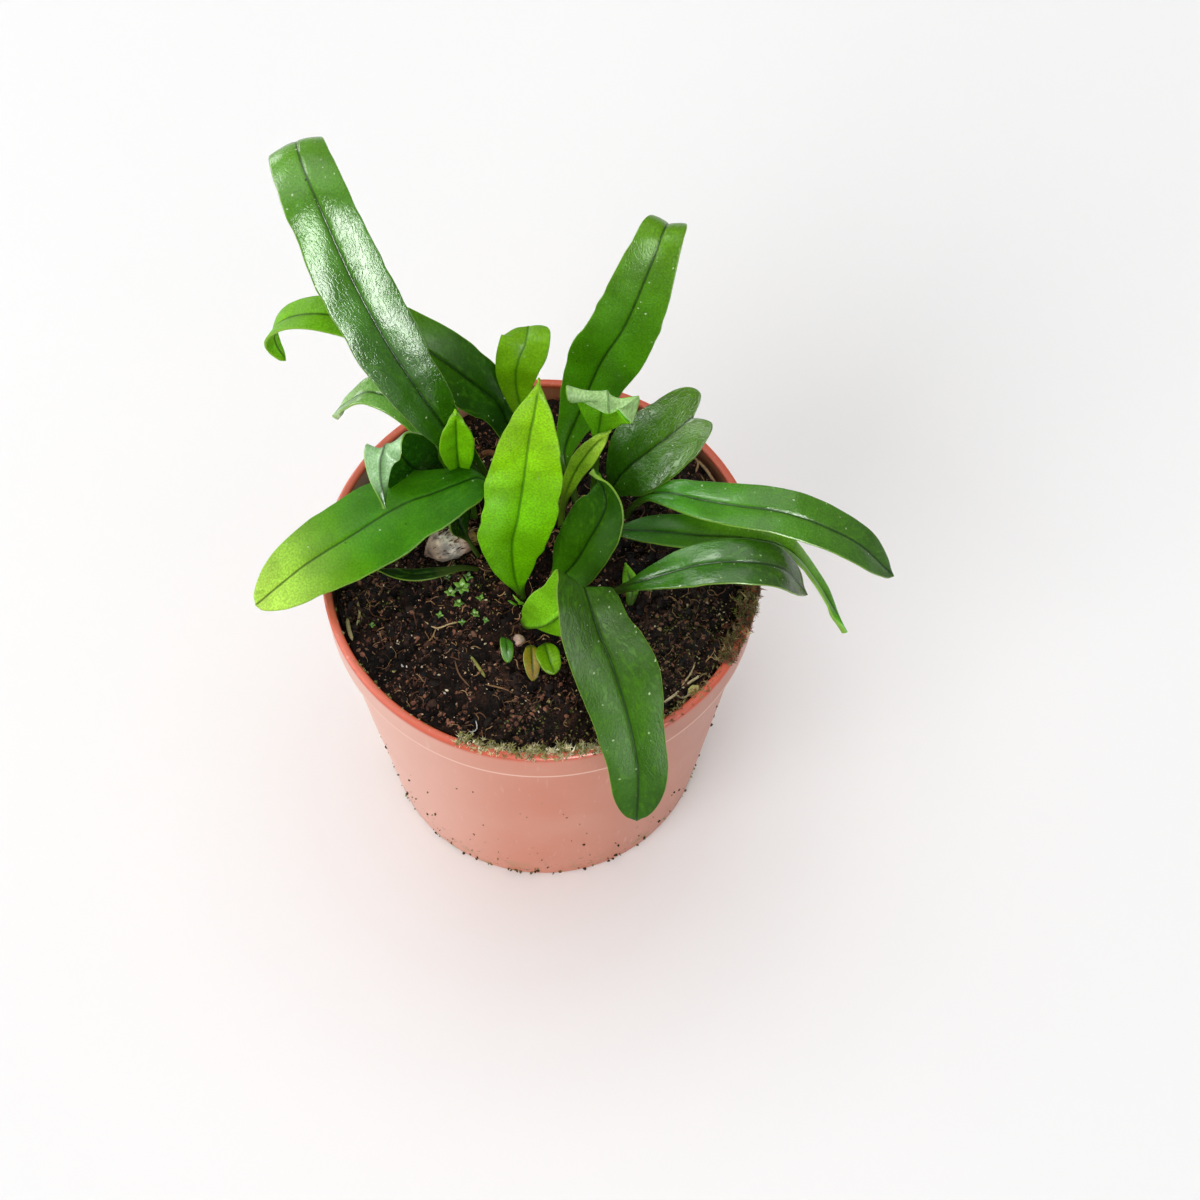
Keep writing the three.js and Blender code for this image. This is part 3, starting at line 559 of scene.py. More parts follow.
def pot_material():
    """Terracotta-coloured plastic under a pale film, with painted sheen on its left side and painted shade
    on its right, dirt near the foot and a cleaner, redder lip.
    """
    sh = Shader("pot_plastic")
    place = sh.place()
    x, y, z = sh.split(place)
    broad = sh.noise(place, 26.0, 3.0, 0.55)
    film = sh.ramp(broad, 0.35, 0.7, 0.1, 0.5)
    colour = sh.mix("c9704f", "d69a86", film)
    # Painted sheen: the left side is paled towards a whitish pink, as light from the left would gloss it.
    colour = sh.mix(colour, "f4cdc0", sh.ramp(x, -50.0, 4.0, 0.6, 0.0))
    # Painted shade: the right side is darkened towards a brownish tone, as if in shadow.
    colour = sh.mix(colour, "a0705f", sh.ramp(x, 0.0, 48.0, 0.0, 0.4))
    colour = sh.mix(colour, "cc4a22", sh.ramp(z, POT_HEIGHT - 2.2, POT_HEIGHT - 0.8, 0.0, 0.9))
    # A pale line just above the band's lower edge: painted highlight where that edge would catch the light,
    # and some wear.
    band_line_highlight_and_wear = sh.math("ABSOLUTE", sh.minus(z, BAND_BOTTOM + 0.8))
    colour = sh.mix(colour, "f4cdbd", sh.ramp(band_line_highlight_and_wear, 0.15, 0.45, 0.7, 0.0))
    streaks = sh.noise(sh.join(x, y, sh.times(z, 0.08)), 1.2, 2.0)
    colour = sh.mix(colour, "e6c2b4", sh.times(sh.ramp(streaks, 0.62, 0.8), 0.25))
    specks = sh.noise(place, 1.3, 2.0, 0.6)
    low = sh.ramp(z, 4.0, 40.0, 0.64, 0.78)
    dirt = sh.ramp(sh.minus(specks, low), 0.0, 0.05)
    colour = sh.mix(colour, "5a4a24", sh.times(dirt, 0.8))
    algae = sh.times(sh.ramp(sh.noise(place, 5.0, 3.0), 0.5, 0.7), sh.ramp(z, 2.0, 12.0, 0.55, 0.0))
    colour = sh.mix(colour, "8a7a34", algae)
    rough = sh.ramp(broad, 0.3, 0.7, 0.38, 0.52)
    normal = sh.bump(sh.noise(place, 0.5, 3.0), 0.03, 0.4)
    normal = sh.bump(dirt, 0.2, 0.5, normal)
    return sh.done(sh.surface(Base_Color=colour, Roughness=rough, Normal=normal))


def plain_material(name, tone, roughness):
    sh = Shader(name)
    return sh.done(sh.surface(Base_Color=(*linear(tone), 1), Roughness=roughness))


# Roughness, shine and translucence of each finish of the fronds, and for one of them its midrib's colour
# and how far that shows
FINISHES = dict(dark=(0.21, 0.5, 0.08), mid=(0.2, 0.45, 0.12), satin=(0.3, 0.2, 0.1),
                soft=(0.38, 0.08, 0.14), bright=(0.32, 0.14, 0.25, "2c6204", 0.6), dry=(0.45, 0.3, 0.2))
FROND_MATERIALS = {finish: frond_material("frond_" + finish, *look) for finish, look in FINISHES.items()}
SOIL_MATERIAL = toned_material("peat", 0.95, 0.6, 1.2, 0.8, 0.1)
CRUMB_MATERIAL = toned_material("crumbs", 0.9, 0.5, 0.2, 0.3, 0.15)
RHIZOME_MATERIAL = toned_material("rhizome", 0.75, 1.2, 0.4, 0.35)
SPROUT_MATERIAL = toned_material("sprouts", 0.45, 1.0, 0.1, 0.2)

# Fronds


def lobes(out):
    """How far a notched tip falls back from its furthest reach, in notch depths, across the half width."""
    inner = np.maximum(1 - out / LOBE_PEAK, 0) ** 1.5
    outer = np.clip((out - LOBE_PEAK) / (1 - LOBE_PEAK), 0, 1)
    return np.where(out < LOBE_PEAK, inner, LOBE_FALL * (1 - np.sqrt(1 - outer**2)))


def frond_columns(width):
    """Places across a blade of that width from -1 to 1, closer together at the midrib and at the edges."""
    count = round(SIDE_COLUMNS[0] + SIDE_COLUMNS[1] * width)
    v = np.arange(1, count + 1) / count
    u = 0.7 * (1 - np.cos(np.pi * v)) / 2 + 0.3 * v
    return np.concatenate([-u[::-1], [0], u])


def around(upper, lower):
    """Values along each row's ring of points: across the upper face and back across the lower one."""
    return np.concatenate([upper, lower[:, -2:0:-1]], 1)


def frond_faces(rows, columns):
    """Faces between the rows' rings of points, and across the first row and the last."""
    ring = 2 * columns - 2
    faces = bands(rows, ring)
    for row, flip in ((0, True), (rows - 1, False)):
        for k in range(columns - 1):
            corners = dict.fromkeys([k, k + 1, (ring - k - 1) % ring, (ring - k) % ring])
            cap = [row * ring + corner for corner in corners]
            faces.append(cap[::-1] if flip else cap)
    return faces


def frond_piece(frond, seed):
    """A frond's blade and stem as one closed mesh, which replaces its node."""
    frond = {**USUAL, **frond}
    widths, notch, wave, wrinkle = (frond[key] for key in ("widths", "notch", "wave", "wrinkle"))
    path = np.array(frond["path"], float)
    root = path[0] + ROOT_DEPTH * unit(path[0] - path[1])
    route = np.vstack([root, path])
    length = along_route(route, [0.0])[2]
    rows = max(FEWEST_ROWS, round(length * (1 - CLOSING) / ROW_SPACING))
    closing_rows = 1 - CLOSING * (1 - np.sin(np.linspace(0, np.pi / 2, TIP_ROWS + 1)[1:]))
    s = np.concatenate([np.linspace(0, 1 - CLOSING, rows + 1), closing_rows])
    u = frond_columns(max(widths))
    out = np.abs(u)

    centre, along, _ = along_route(route, s)
    compass = np.radians(frond["edge"])
    compass = np.array([np.cos(compass), np.sin(compass), 0])
    turn = -np.radians(evenly(frond["roll"], s))[:, None]
    flat = unit(compass - along * (along @ compass)[:, None])
    right = flat * np.cos(turn) + np.cross(along, flat) * np.sin(turn)
    up = np.cross(right, along)

    # Width: places across the blade, and their distance from its edge
    y = s * length
    closing = np.zeros_like(s) if notch else np.clip((s - 1 + CLOSING) / CLOSING, 0, 1)
    half = np.maximum(evenly(widths, s) * np.sqrt(1 - closing**2), TIP_WIDTH) / 2
    blade = smoothstep(half, widths[0] / 2, BLADE_HALF)
    wander = []
    for side, name in ((-1, "left"), (1, "right")):
        line = stack(y, side * 9.0, seed)
        waves = noise(line, WANDER_SIZES[0]) + 0.7 * noise(line, WANDER_SIZES[1])
        wander.append((1 + wave * blade * waves) * evenly(frond[name], s))
    half_at = half[:, None] * np.where(u < 0, wander[0][:, None], wander[1][:, None])
    x = u * half_at
    edge = (1 - out) * half_at

    # Section: heights of the upper and the lower face above the blade's middle
    stem = min(STEM_THICKNESS, widths[0] * STEM_SHARE)
    rib = lerp(stem, min(stem, RIB_THICKNESS), smoothstep(s, RIB_START, RIB_END))
    margin = lerp(stem * STEM_EDGE, BLADE_THICKNESS, blade)
    tip = np.minimum(edge, ((1 - s) * length)[:, None] + TIP_BLUNTNESS)
    rounding = np.sqrt(1 - np.clip(1 - tip / EDGE_RADIUS, 0, 1) ** 2)
    ellipse = np.sqrt(np.maximum(1 - out**2, 0))[None, :]
    shape = blade[:, None]
    fading = 1 - RIB_FADING * smoothstep(s, 0.5, 1)[:, None]
    groove = GROOVE * fading * np.exp(-(x / GROOVE_HALF) ** 2) * (1 - np.exp(-(half_at / 2) ** 2))
    ridge = (rib - margin)[:, None] * np.exp(-(x / RIB_HALF) ** 2) * fading
    stem_middle = (margin / 2 - stem / 2)[:, None]
    top = lerp(stem_middle + stem / 2 * ellipse, margin[:, None] / 2 * rounding - groove, shape)
    bottom = lerp(stem_middle - stem / 2 * ellipse, -margin[:, None] / 2 * rounding - ridge, shape)

    # Lift: how far the middle rises from a flat blade
    rise = np.radians(evenly(frond["fold"], s)) * blade
    spots = stack(x, y[:, None], seed * 7.0)
    halves = stack(np.where(u < 0, -20.0, 20.0), y[:, None], seed)
    ripple = RIPPLE * noise(halves, RIPPLE_SIZE) * out**2.5
    dimples = DIMPLE * (noise(spots, DIMPLE_SIZES[0], 1) + 0.6 * noise(spots, DIMPLE_SIZES[1], 2))
    dimples = dimples + WRINKLE * wrinkle * noise(spots * (1.5, 0.75, 1), WRINKLE_SIZE, 3)
    arch = ARCH * half_at * np.sin(np.pi * out)
    crumple = frond["crumple"] * noise(spots, CRUMPLE_SIZE, 4)
    lift = out * half_at * np.sin(rise)[:, None] + shape * (ripple + dimples + arch + crumple)
    flat_share = np.cos(rise)[:, None]
    back = -notch * lobes(out) * smoothstep(s, LOBE_START, 1)[:, None]
    reach = s[:, None] + back / length

    def placed(vectors):
        """The rows' vectors, taken where each point is along the route."""
        return np.stack([np.interp(reach, s, vectors[:, k]) for k in range(3)], -1)

    def face(height):
        across = placed(right) * (x * flat_share)[..., None]
        return placed(centre) + across + placed(up) * (lift + height)[..., None]

    points = around(face(top), face(bottom))
    under = around(np.zeros(x.shape), np.broadcast_to(shape, x.shape))
    greens = evenly(palette(frond["greens"]), s)
    beneath = lerp(greens, linear(frond["beneath"]), UNDERSIDE_SHARE)
    tones = lerp(greens[:, None], beneath[:, None], under[..., None])
    stalk = (1 - blade) * (s < STALK_END)
    specks = evenly(frond["specks"], s)
    slot = frond["slot"]
    material = FROND_MATERIALS[frond.get("finish", slot)]
    piece = new_piece(frond["name"], points, frond_faces(*x.shape), material, "frond_" + slot, tones,
                      place=stack(around(x, x), y[:, None], around(edge, edge)),
                      look=stack(stalk[:, None], under, float(seed)),
                      finish=stack(specks[:, None], wrinkle, np.zeros_like(under)))
    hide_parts(frond["name"])


# Pot


def pot_profile():
    """Outline from the middle of the underside round the wall and lip to the middle of the floor."""
    def arc(cx, cz, radius, start, end, steps=6):
        angles = np.radians(np.linspace(start, end, steps))
        return [(cx + radius * math.cos(t), cz + radius * math.sin(t)) for t in angles]

    def line(a, b, steps):
        return [(lerp(a[0], b[0], t), lerp(a[1], b[1], t)) for t in np.linspace(0, 1, steps)]

    foot = arc(BASE_RADIUS - FOOT_ROUND, FOOT_ROUND, FOOT_ROUND, -90, 0)
    inner = BAND_RADIUS - WALL - 0.4
    outside = line((BASE_RADIUS + 0.05, 1.8), (WALL_TOP_RADIUS, BAND_BOTTOM - STEP_DROP), 24)
    step = (arc(WALL_TOP_RADIUS + STEP_HOLLOW, BAND_BOTTOM - STEP_DROP, STEP_HOLLOW, 180, 100, 4)
            + arc(BAND_RADIUS - STEP_ROUND, BAND_BOTTOM + 0.3, STEP_ROUND, -80, 0, 4))
    band = line((BAND_RADIUS, BAND_BOTTOM + 1), (RIM_RADIUS - 0.1, POT_HEIGHT - 2.6), 5)
    lip = (arc(RIM_RADIUS - LIP_ROUND, POT_HEIGHT - LIP_ROUND, LIP_ROUND, -10, 90)
           + arc(RIM_RADIUS - 2 * LIP_INNER_ROUND, POT_HEIGHT - LIP_INNER_ROUND, LIP_INNER_ROUND, 90, 180))
    wall = WALL_TOP_RADIUS - WALL
    inside = [(inner + 0.2, POT_HEIGHT - 3), (inner, BAND_BOTTOM + 1), (wall, BAND_BOTTOM - 1.6)]
    inside += line((wall, BAND_BOTTOM - 2), (BASE_RADIUS - WALL, FLOOR + 1), 12)[1:]
    underside = [(0, 0), (BASE_RADIUS * 0.5, 0), (BASE_RADIUS - 3, 0)]
    floor = [(BASE_RADIUS - WALL - 1, FLOOR), (BASE_RADIUS * 0.5, FLOOR), (0, FLOOR)]
    return underside + foot + outside + step + band + lip + inside + floor


def lathe(profile, sides):
    """Points and faces of the profile turned about the Z axis; its first and last point are on the axis."""
    r, z = np.array(profile[1:-1]).T[..., None]
    rings = on_circle(r, round_the_circle(sides), z)
    points = np.vstack([rings.reshape(-1, 3), [0, 0, profile[0][1]], [0, 0, profile[-1][1]]])
    return points, turned_body(len(r), sides)


def pot_piece():
    """The pot, slightly out of true, with its drain holes cut; it replaces its node."""
    points, faces = lathe(pot_profile(), POT_SIDES)
    reach = np.hypot(points[:, 0], points[:, 1])
    outwards = points * (1, 1, 0) / np.maximum(reach, 1)[:, None]
    uneven = 0.12 * noise(points, 22.0, 3) * smoothstep(points[:, 2], 5, 20)
    points = points + outwards * uneven[:, None]
    piece = new_piece("pot_shell", points, faces, pot_material(), "pot_plastic")
    drill = bmesh.new()
    for i in range(DRAIN_HOLES):
        angle = (i + 0.5) / DRAIN_HOLES * 2 * math.pi
        at = Vector((DRAIN_RING * math.cos(angle), DRAIN_RING * math.sin(angle), 0)) * MM
        radius = DRAIN_RADIUS * MM
        bmesh.ops.create_cone(drill, cap_ends=True, segments=32, radius1=radius, radius2=radius,
                              depth=4 * FLOOR * MM, matrix=Matrix.Translation(at))
    drill_mesh = bpy.data.meshes.new("drill")
    drill.to_mesh(drill_mesh)
    drill.free()
    drill_piece = bpy.data.objects.new("drill", drill_mesh)
    bpy.context.scene.collection.objects.link(drill_piece)
    cut = piece.modifiers.new("holes", "BOOLEAN")
    cut.operation = "DIFFERENCE"
    cut.solver = "EXACT"
    cut.object = drill_piece
    bpy.context.view_layer.update()
    shaped = bpy.data.meshes.new_from_object(piece.evaluated_get(bpy.context.evaluated_depsgraph_get()))
    piece.modifiers.clear()
    piece.data = shaped
    bpy.data.objects.remove(drill_piece)
    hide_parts("pot")


# Soil


def soil_height(x, y):
    level = SOIL_LEVEL + SOIL_RISE[0] * x + SOIL_RISE[1] * y
    for height, a, b, offset in LUMPS:
        level = level + height * np.sin(a * x + b * y + offset)
    return level


def unevenness(x, y):
    """How far the soil's crumbs and hollows rise above and dip below its smooth surface."""
    p = stack(x, y, 0.0)
    return sum(height * noise(p, size, seed) for seed, (height, size) in enumerate(CRAGS, 4))


def crumbly(x, y):
    return soil_height(x, y) + unevenness(x, y)


# Peat's colours, the darkest of them standing for painted shade in the hollows.
PEAT_AND_HOLLOW_SHADE = palette("040302 160e0a 2e1c13 5c3c2a")  # from the hollows to the crumbs' tops


def soil_piece():
    """The peat with its crumbly top, which replaces its node."""
    angles = round_the_circle(SOIL_SIDES)
    radii = SOIL_RADIUS * np.linspace(0, 1, SOIL_RINGS + 1)[1:] ** RING_CROWDING
    x, y = radii[:, None] * np.cos(angles), radii[:, None] * np.sin(angles)
    low = BASE_RADIUS - WALL - 0.5
    walls = [(SOIL_RADIUS, SHOULDER), (low, FLOOR + 3), (low - 2, SOIL_BOTTOM)]
    sides = [on_circle(r, angles, z) for r, z in walls]
    rings = np.concatenate([stack(x, y, crumbly(x, y)), np.array(sides)])
    points = np.vstack([rings.reshape(-1, 3), [0, 0, crumbly(0, 0)], [0, 0, SOIL_BOTTOM]])
    # Painted shade: the colour darkens into the hollows and browns on the crumbs' tops, with random
    # mottling.
    share = 0.4 + 0.22 * unevenness(points[:, 0], points[:, 1]) + 0.15 * noise(points, 1.0, 8)
    tones = evenly(PEAT_AND_HOLLOW_SHADE, np.clip(share, 0, 1))
    faces = turned(turned_body(len(rings), SOIL_SIDES))
    piece = new_piece("soil_body", points, faces, SOIL_MATERIAL, "peat", np.clip(tones, 0, 1))
    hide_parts("soil")


GOLD = (1 + 5**0.5) / 2
LUMP_POINTS = unit(np.array([(0, a, b * GOLD) for a in (-1, 1) for b in (-1, 1)]
                            + [(a, b * GOLD, 0) for a in (-1, 1) for b in (-1, 1)]
                            + [(b * GOLD, 0, a) for a in (-1, 1) for b in (-1, 1)], float))


CORNERS = len(LUMP_POINTS)


def lump_faces():
    """The twenty triangles of the icosahedron whose corners are LUMP_POINTS, facing out."""
    near = 1.2
    found = []
    for a, b, c in product(range(CORNERS), repeat=3):
        if a < b and a < c and b != c:
            p, q, r = LUMP_POINTS[[a, b, c]]
            close = max(np.linalg.norm(p - q), np.linalg.norm(q - r), np.linalg.norm(r - p)) < near
            if close and np.dot(np.cross(q - p, r - p), p) > 0:
                found.append((a, b, c))
    return np.array(found)


LUMP_FACES = lump_faces()


def turns(count):
    """Random rotation matrices."""
    q = unit(rng.normal(size=(count, 4)))
    w, x, y, z = q.T
    rows = [1 - 2 * (y * y + z * z), 2 * (x * y - z * w), 2 * (x * z + y * w),
            2 * (x * y + z * w), 1 - 2 * (x * x + z * z), 2 * (y * z - x * w),
            2 * (x * z - y * w), 2 * (y * z + x * w), 1 - 2 * (x * x + y * y)]
    return np.stack(rows, -1).reshape(-1, 3, 3)


def lumps(name, spots, sizes, tones, each=False):
    """Irregular crumbs at the spots, each with its own size, turn and colour, as one piece."""
    count = len(spots)
    shapes = LUMP_POINTS[None] * (1 + 0.35 * rng.uniform(-1, 1, (count, CORNERS, 1)))
    shapes = shapes * stack(1.0, rng.uniform(0.35, 0.95, count), rng.uniform(0.25, 0.75, count))[:, None]
    shapes = np.einsum("nij,nkj->nki", turns(count), shapes) * sizes[:, None, None]
    faces = (LUMP_FACES[None] + CORNERS * np.arange(count)[:, None, None]).reshape(-1, 3)
    shades = palette(tones)
    chosen = np.arange(count) if each else rng.integers(len(shades), size=count)
    colours = shades[chosen] * rng.uniform(0.75, 1.25, (count, 1))
    colours = np.repeat(colours, CORNERS, 0)
    new_piece(name, shapes + spots[:, None], faces, CRUMB_MATERIAL, "peat", colours, smooth=False)


def rounded(s):
    return np.sqrt(np.maximum(1 - (2 * s - 1) ** 6, 0.02))


def pointed(s):
    return np.maximum(1 - s**1.5, 0.06)


def oval(s):
    return np.maximum(np.sin(np.pi * s**0.8) ** 0.8, 0.1)


def strands(name, routes, radii, tones, shape=rounded, flat=1, sides=5, each=False, slot="peat",
            material=CRUMB_MATERIAL):
    """Bent strands or little leaves along the routes, as one piece."""
    steps = 9
    points, faces, colours = [], [], []
    shades = palette(tones)
    s = np.linspace(0, 1, steps)
    pattern = tube(steps, sides)
    for number, (route, radius) in enumerate(zip(routes, radii)):
        centre, along, _ = along_route(route, s)
        ring = around_route(along, (0.13, 0.21, 0.97), sides, flat)
        points.append((centre[:, None] + ring * (radius * shape(s))[:, None, None]).reshape(-1, 3))
        first = number * sides * steps
        faces += [[first + corner for corner in face] for face in pattern]
        tone = shades[number if each else rng.integers(len(shades))] * rng.uniform(0.85, 1.15)
        colours.append(np.broadcast_to(tone, (sides * steps, 3)))
    new_piece(name, np.vstack(points), faces, material, slot, np.vstack(colours))


def off_the_wall(x, y, clearance):
    """Places moved inwards where they would be nearer the soil's edge than the clearance."""
    share = np.minimum(1, (SOIL_RADIUS - clearance) / np.maximum(np.hypot(x, y), 1))
    return x * share, y * share


def settle(x, y, lift=0.0):
    """A point on the soil, or a little above it."""
    x, y = off_the_wall(x, y, STRAND_CLEARANCE)
    return x, y, crumbly(x, y) + lift


def on_soil(count, lift=0.1, seed=10):
    """Random spots all over the soil, in patches that depend on the seed."""
    r = (SOIL_RADIUS - CLEARANCE) * np.sqrt(rng.uniform(0, 1, 2 * count))
    t = rng.uniform(0, 2 * np.pi, 2 * count)
    x, y = r * np.cos(t), r * np.sin(t)
    p = stack(x, y, 0.0)
    liking = noise(p, 7.0, seed) + noise(p, 2.5, seed + 1) + rng.uniform(-0.6, 0.6, 2 * count)
    kept = np.argsort(-liking)[:count]
    return stack(x, y, crumbly(x, y) + lift)[kept]


def near(places, count, spread, lift):
    """Random spots on the soil around the given places."""
    chosen = np.array(places, float)[rng.integers(len(places), size=count)]
    x, y = off_the_wall(*(chosen + rng.normal(0, spread, (count, 2))).T, CLEARANCE)
    return stack(x, y, crumbly(x, y) + lift)


def lying(start, heading, length):
    """A route on the soil's surface that wanders from a start point."""
    steps, bend, lift = 5, 0.9, 0.3
    points = []
    x, y = start[:2]
    for i in range(steps):
        points.append(settle(x, y, lift + 0.4 * math.sin(math.pi * i / (steps - 1))))
        heading += rng.uniform(-bend, bend)
        x += length / (steps - 1) * math.cos(heading)
        y += length / (steps - 1) * math.sin(heading)
    return points


def lay(lift, *places):
    return [settle(x, y, lift) for x, y in places]


CRUMBS = [
    dict(name="soil_crumbs", count=4500, sizes=(0.2, 1.5), lift=-0.1, seed=10,
         tones="080604 140d09 24160f 331f16 0e0907"),
    dict(name="soil_crumbs_brown", count=7000, sizes=(0.12, 0.85), lift=0.12, seed=12,
         tones="3a2118 5c3a2a 8a5a46 22130d 4a2e22 7c5844"),
    dict(name="soil_crumbs_pale", count=2600, sizes=(0.07, 0.45), lift=0.22, seed=14,
         tones="a07c54 c4a47c 6e5438 e0ceac a87a66 8a7058 d8c8ac"),
]
MOSSY = [(24, -24), (30, -20), (35, -26), (26, -32), (33, -13), (16, -40), (8, -42), (-4, -43), (-40, -10),
         (-22, -2), (-12, -2), (39, -18)]
STICKS = [
    ([(-46.2, -12.5), (-45.6, -16), (-45, -20.1)], 0.5, "b8a87a"),
    ([(-44, -8), (-43.2, -12), (-43.9, -15)], 0.28, "a8a070"),
    ([(27, -38), (31.5, -34.6), (35, -31), (38.6, -29.1)], 0.36, "cdbf96"),
    ([(31.5, -34.6), (34, -35.2), (37.5, -33.2)], 0.25, "c0b088"),
    ([(33, -32.6), (35.5, -28.5), (36.4, -26)], 0.2, "b8a67c"),
    ([(-16.6, -24), (-14.6, -26.4), (-12.9, -29.3)], 0.42, "8c8a48"),
    ([(38.6, 31.7), (41.5, 29), (42.8, 26), (44.5, 24.6)], 0.4, "a08060"),
    ([(35, 33), (38, 30), (37.4, 26.5)], 0.3, "8e6e50"),
    ([(-27.7, -13.9), (-24.8, -15.7), (-22, -14.6), (-19.2, -13.8)], 0.22, "b49c70"),
    ([(-24.8, -15.7), (-26.4, -18.5), (-29.5, -20)], 0.18, "9a7c54"),
    ([(-17.6, -42.3), (-16.1, -43.4), (-14.6, -42.5), (-14.9, -40.8)], 0.13, "d8d8d4"),
    ([(-20.2, -25), (-19, -28.4), (-16.4, -32)], 0.2, "6e5038"),
    ([(-12.8, -32), (-8.5, -32.6), (-6, -33.4)], 0.2, "8a6848"),
    ([(-17, 33), (-13.6, 34.2), (-11, 33)], 0.9, "5c3a22"),
]
FLAKES = [((37.4, -34.3), 1.5, "c9bf74"), ((-1, -29.5), 0.8, "d6cfc0"), ((-32.5, -26.2), 0.55, "ece8e0"),
          ((-31.4, -26.8), 0.4, "e8e2d8"), ((-34.5, -27.2), 0.5, "b8b070"), ((28.2, -17.1), 0.6, "b89a6c"),
          ((-22.3, -33.6), 0.4, "e4dfd4"), ((4.5, -34.5), 0.5, "b89468"), ((-6.4, -32.5), 0.5, "c0a078")]


def litter():
    for kind in CRUMBS:
        spots = on_soil(kind["count"], kind["lift"], kind["seed"])
        sizes = lerp(*kind["sizes"], rng.uniform(0, 1, len(spots)) ** 2.5)
        lumps(kind["name"], spots, sizes, kind["tones"])
    spots = near(MOSSY, 900, 4.5, 0.2)
    lumps("soil_crumbs_olive", spots, rng.uniform(0.12, 0.4, len(spots)), "4c4c1c 66682e 8c8a50 34381a")
    places, sizes, tones = zip(*FLAKES)
    lumps("soil_flakes", np.array(lay(0.4, *places)), np.array(sizes), " ".join(tones), each=True)
    starts = on_soil(1100)
    routes = [lying(p, rng.uniform(0, 2 * np.pi), rng.uniform(1, 4.5)) for p in starts]
    strands("soil_fibres", routes, rng.uniform(0.05, 0.14, len(routes)),
            "2a180e 4a2c1c 6a4632 94704c 5a3828 a8845c")
    places, radii, tones = zip(*STICKS)
    sticks = [lay(0.45, *stick) for stick in places]
    strands("soil_sticks", sticks, radii, " ".join(tones), sides=8, each=True)


def rosette(x, y, size, leaves):
    """Routes of a seedling's little leaves, spreading from one point."""
    x, y, z = settle(x, y, 0.2)
    turn = rng.uniform(0, 2 * np.pi)
    routes = []
    for i in range(leaves):
        angle = turn + 2 * np.pi * i / leaves + rng.uniform(-0.3, 0.3)
        reach = size * rng.uniform(0.8, 1.15)
        dx, dy = reach * math.cos(angle), reach * math.sin(angle)
        middle = (x + 0.4 * dx, y + 0.4 * dy, z + 0.6 * size)
        routes.append([(x, y, z), middle, (x + dx, y + dy, z + 0.75 * size)])
    return routes


SEEDLINGS = [(-18.9, -5.4, 2.1, 6), (-21.7, -6.5, 1.5, 5), (-19.8, -9.2, 1.4, 5), (-17.5, -3.1, 1.3, 4),
             (-15.7, -11.9, 1.3, 5), (-18.7, -14.1, 1, 4), (-24, -12.5, 1, 4), (-14.5, -8.5, 1.1, 4),
             (-22.5, -2, 1.1, 4), (-13, -14.5, 0.9, 4), (26, -6, 0.9, 4), (-40, -15, 0.9, 4)]


def seedlings():
    routes = [route for x, y, size, leaves in SEEDLINGS for route in rosette(x, y, size, leaves)]
    widths = [0.42 * size for _, _, size, leaves in SEEDLINGS for _ in range(leaves)]
    looks = dict(shape=oval, slot="frond_bright", material=SPROUT_MATERIAL)
    strands("seedlings", routes, widths, "6a9a28 5a8c20 80ae3c 466e18", flat=0.22, sides=8, **looks)
    x, y, z = settle(-5, -10.4)
    sprouts = [[(x, y + 0.6, z + 0.5), (x - 0.6, y, z + 3), (x - 1.6, y - 0.4, z + 6.2)],
               [(x, y, z + 0.5), (x + 0.3, y - 0.5, z + 2.6), (x - 0.2, y - 1.4, z + 4.6)],
               [(x - 0.8, y, z + 0.5), (x - 1.6, y - 0.6, z + 2.4), (x - 2.8, y - 0.8, z + 4)],
               [(x + 0.8, y, z + 0.5), (x + 1.4, y - 0.9, z + 1.9), (x + 1.6, y - 2, z + 2.6)]]
    strands("sprouts", sprouts, [1, 0.8, 0.7, 0.6], "9ad040 7cc020 6ab01c a8d860", flat=0.3, sides=10,
            each=True, **looks)


MOSS_ARCS = [
    dict(name="moss_front", start=-112, end=-70, count=330, spread=0.9, reach=(0.7, 1.9),
         tones="a8a468 c8c094 908c50 e4dcbc 70703a d0c898"),
    dict(name="moss_front_left", start=-165, end=-112, count=36, spread=0.5, reach=(0.4, 0.9),
         tones="a8a468 c8c094 848a48"),
    dict(name="moss_right", start=-32, end=-2, count=300, spread=1.5, reach=(0.8, 2.3),
         tones="6e5e38 8c7650 4e3a22 a09066 7c4a34 5e6430"),
    dict(name="moss_front_right", start=-62, end=-34, count=90, spread=0.8, reach=(0.5, 1.4),
         tones="8c8450 b0a070 6c5836 8a5a3c"),
]


def tufts(name, spots, reaches, tones):
    """Tiny pointed leaflets that bristle from each spot, as one piece."""
    blades = 9
    count = len(spots)
    shades = palette(tones)
    lean = unit(rng.normal(size=(count, blades, 3)) + (0, 0, 0.8))
    length = (reaches[:, None] * rng.uniform(0.5, 1, (count, blades)))[..., None]
    wide = unit(np.cross(lean, rng.normal(size=(count, blades, 3))))
    deep = np.cross(lean, wide)
    root = spots[:, None] + rng.normal(0, 0.15, (count, blades, 3)) * reaches[:, None, None]
    girth = 0.13 * length
    corners = [root + girth * wide,
               root - girth * (0.5 * wide + 0.8 * deep),
               root - girth * (0.5 * wide - 0.8 * deep),
               root + length * lean]
    sides = np.array([(0, 1, 2), (0, 3, 1), (1, 3, 2), (2, 3, 0)])
    faces = (sides[None] + 4 * np.arange(count * blades)[:, None, None]).reshape(-1, 3)
    colours = shades[rng.integers(len(shades), size=count)] * rng.uniform(0.75, 1.3, (count, 1))
    colours = np.repeat(colours, 4 * blades, 0)
    new_piece(name, np.stack(corners, 2), faces, CRUMB_MATERIAL, "peat", colours, smooth=False)


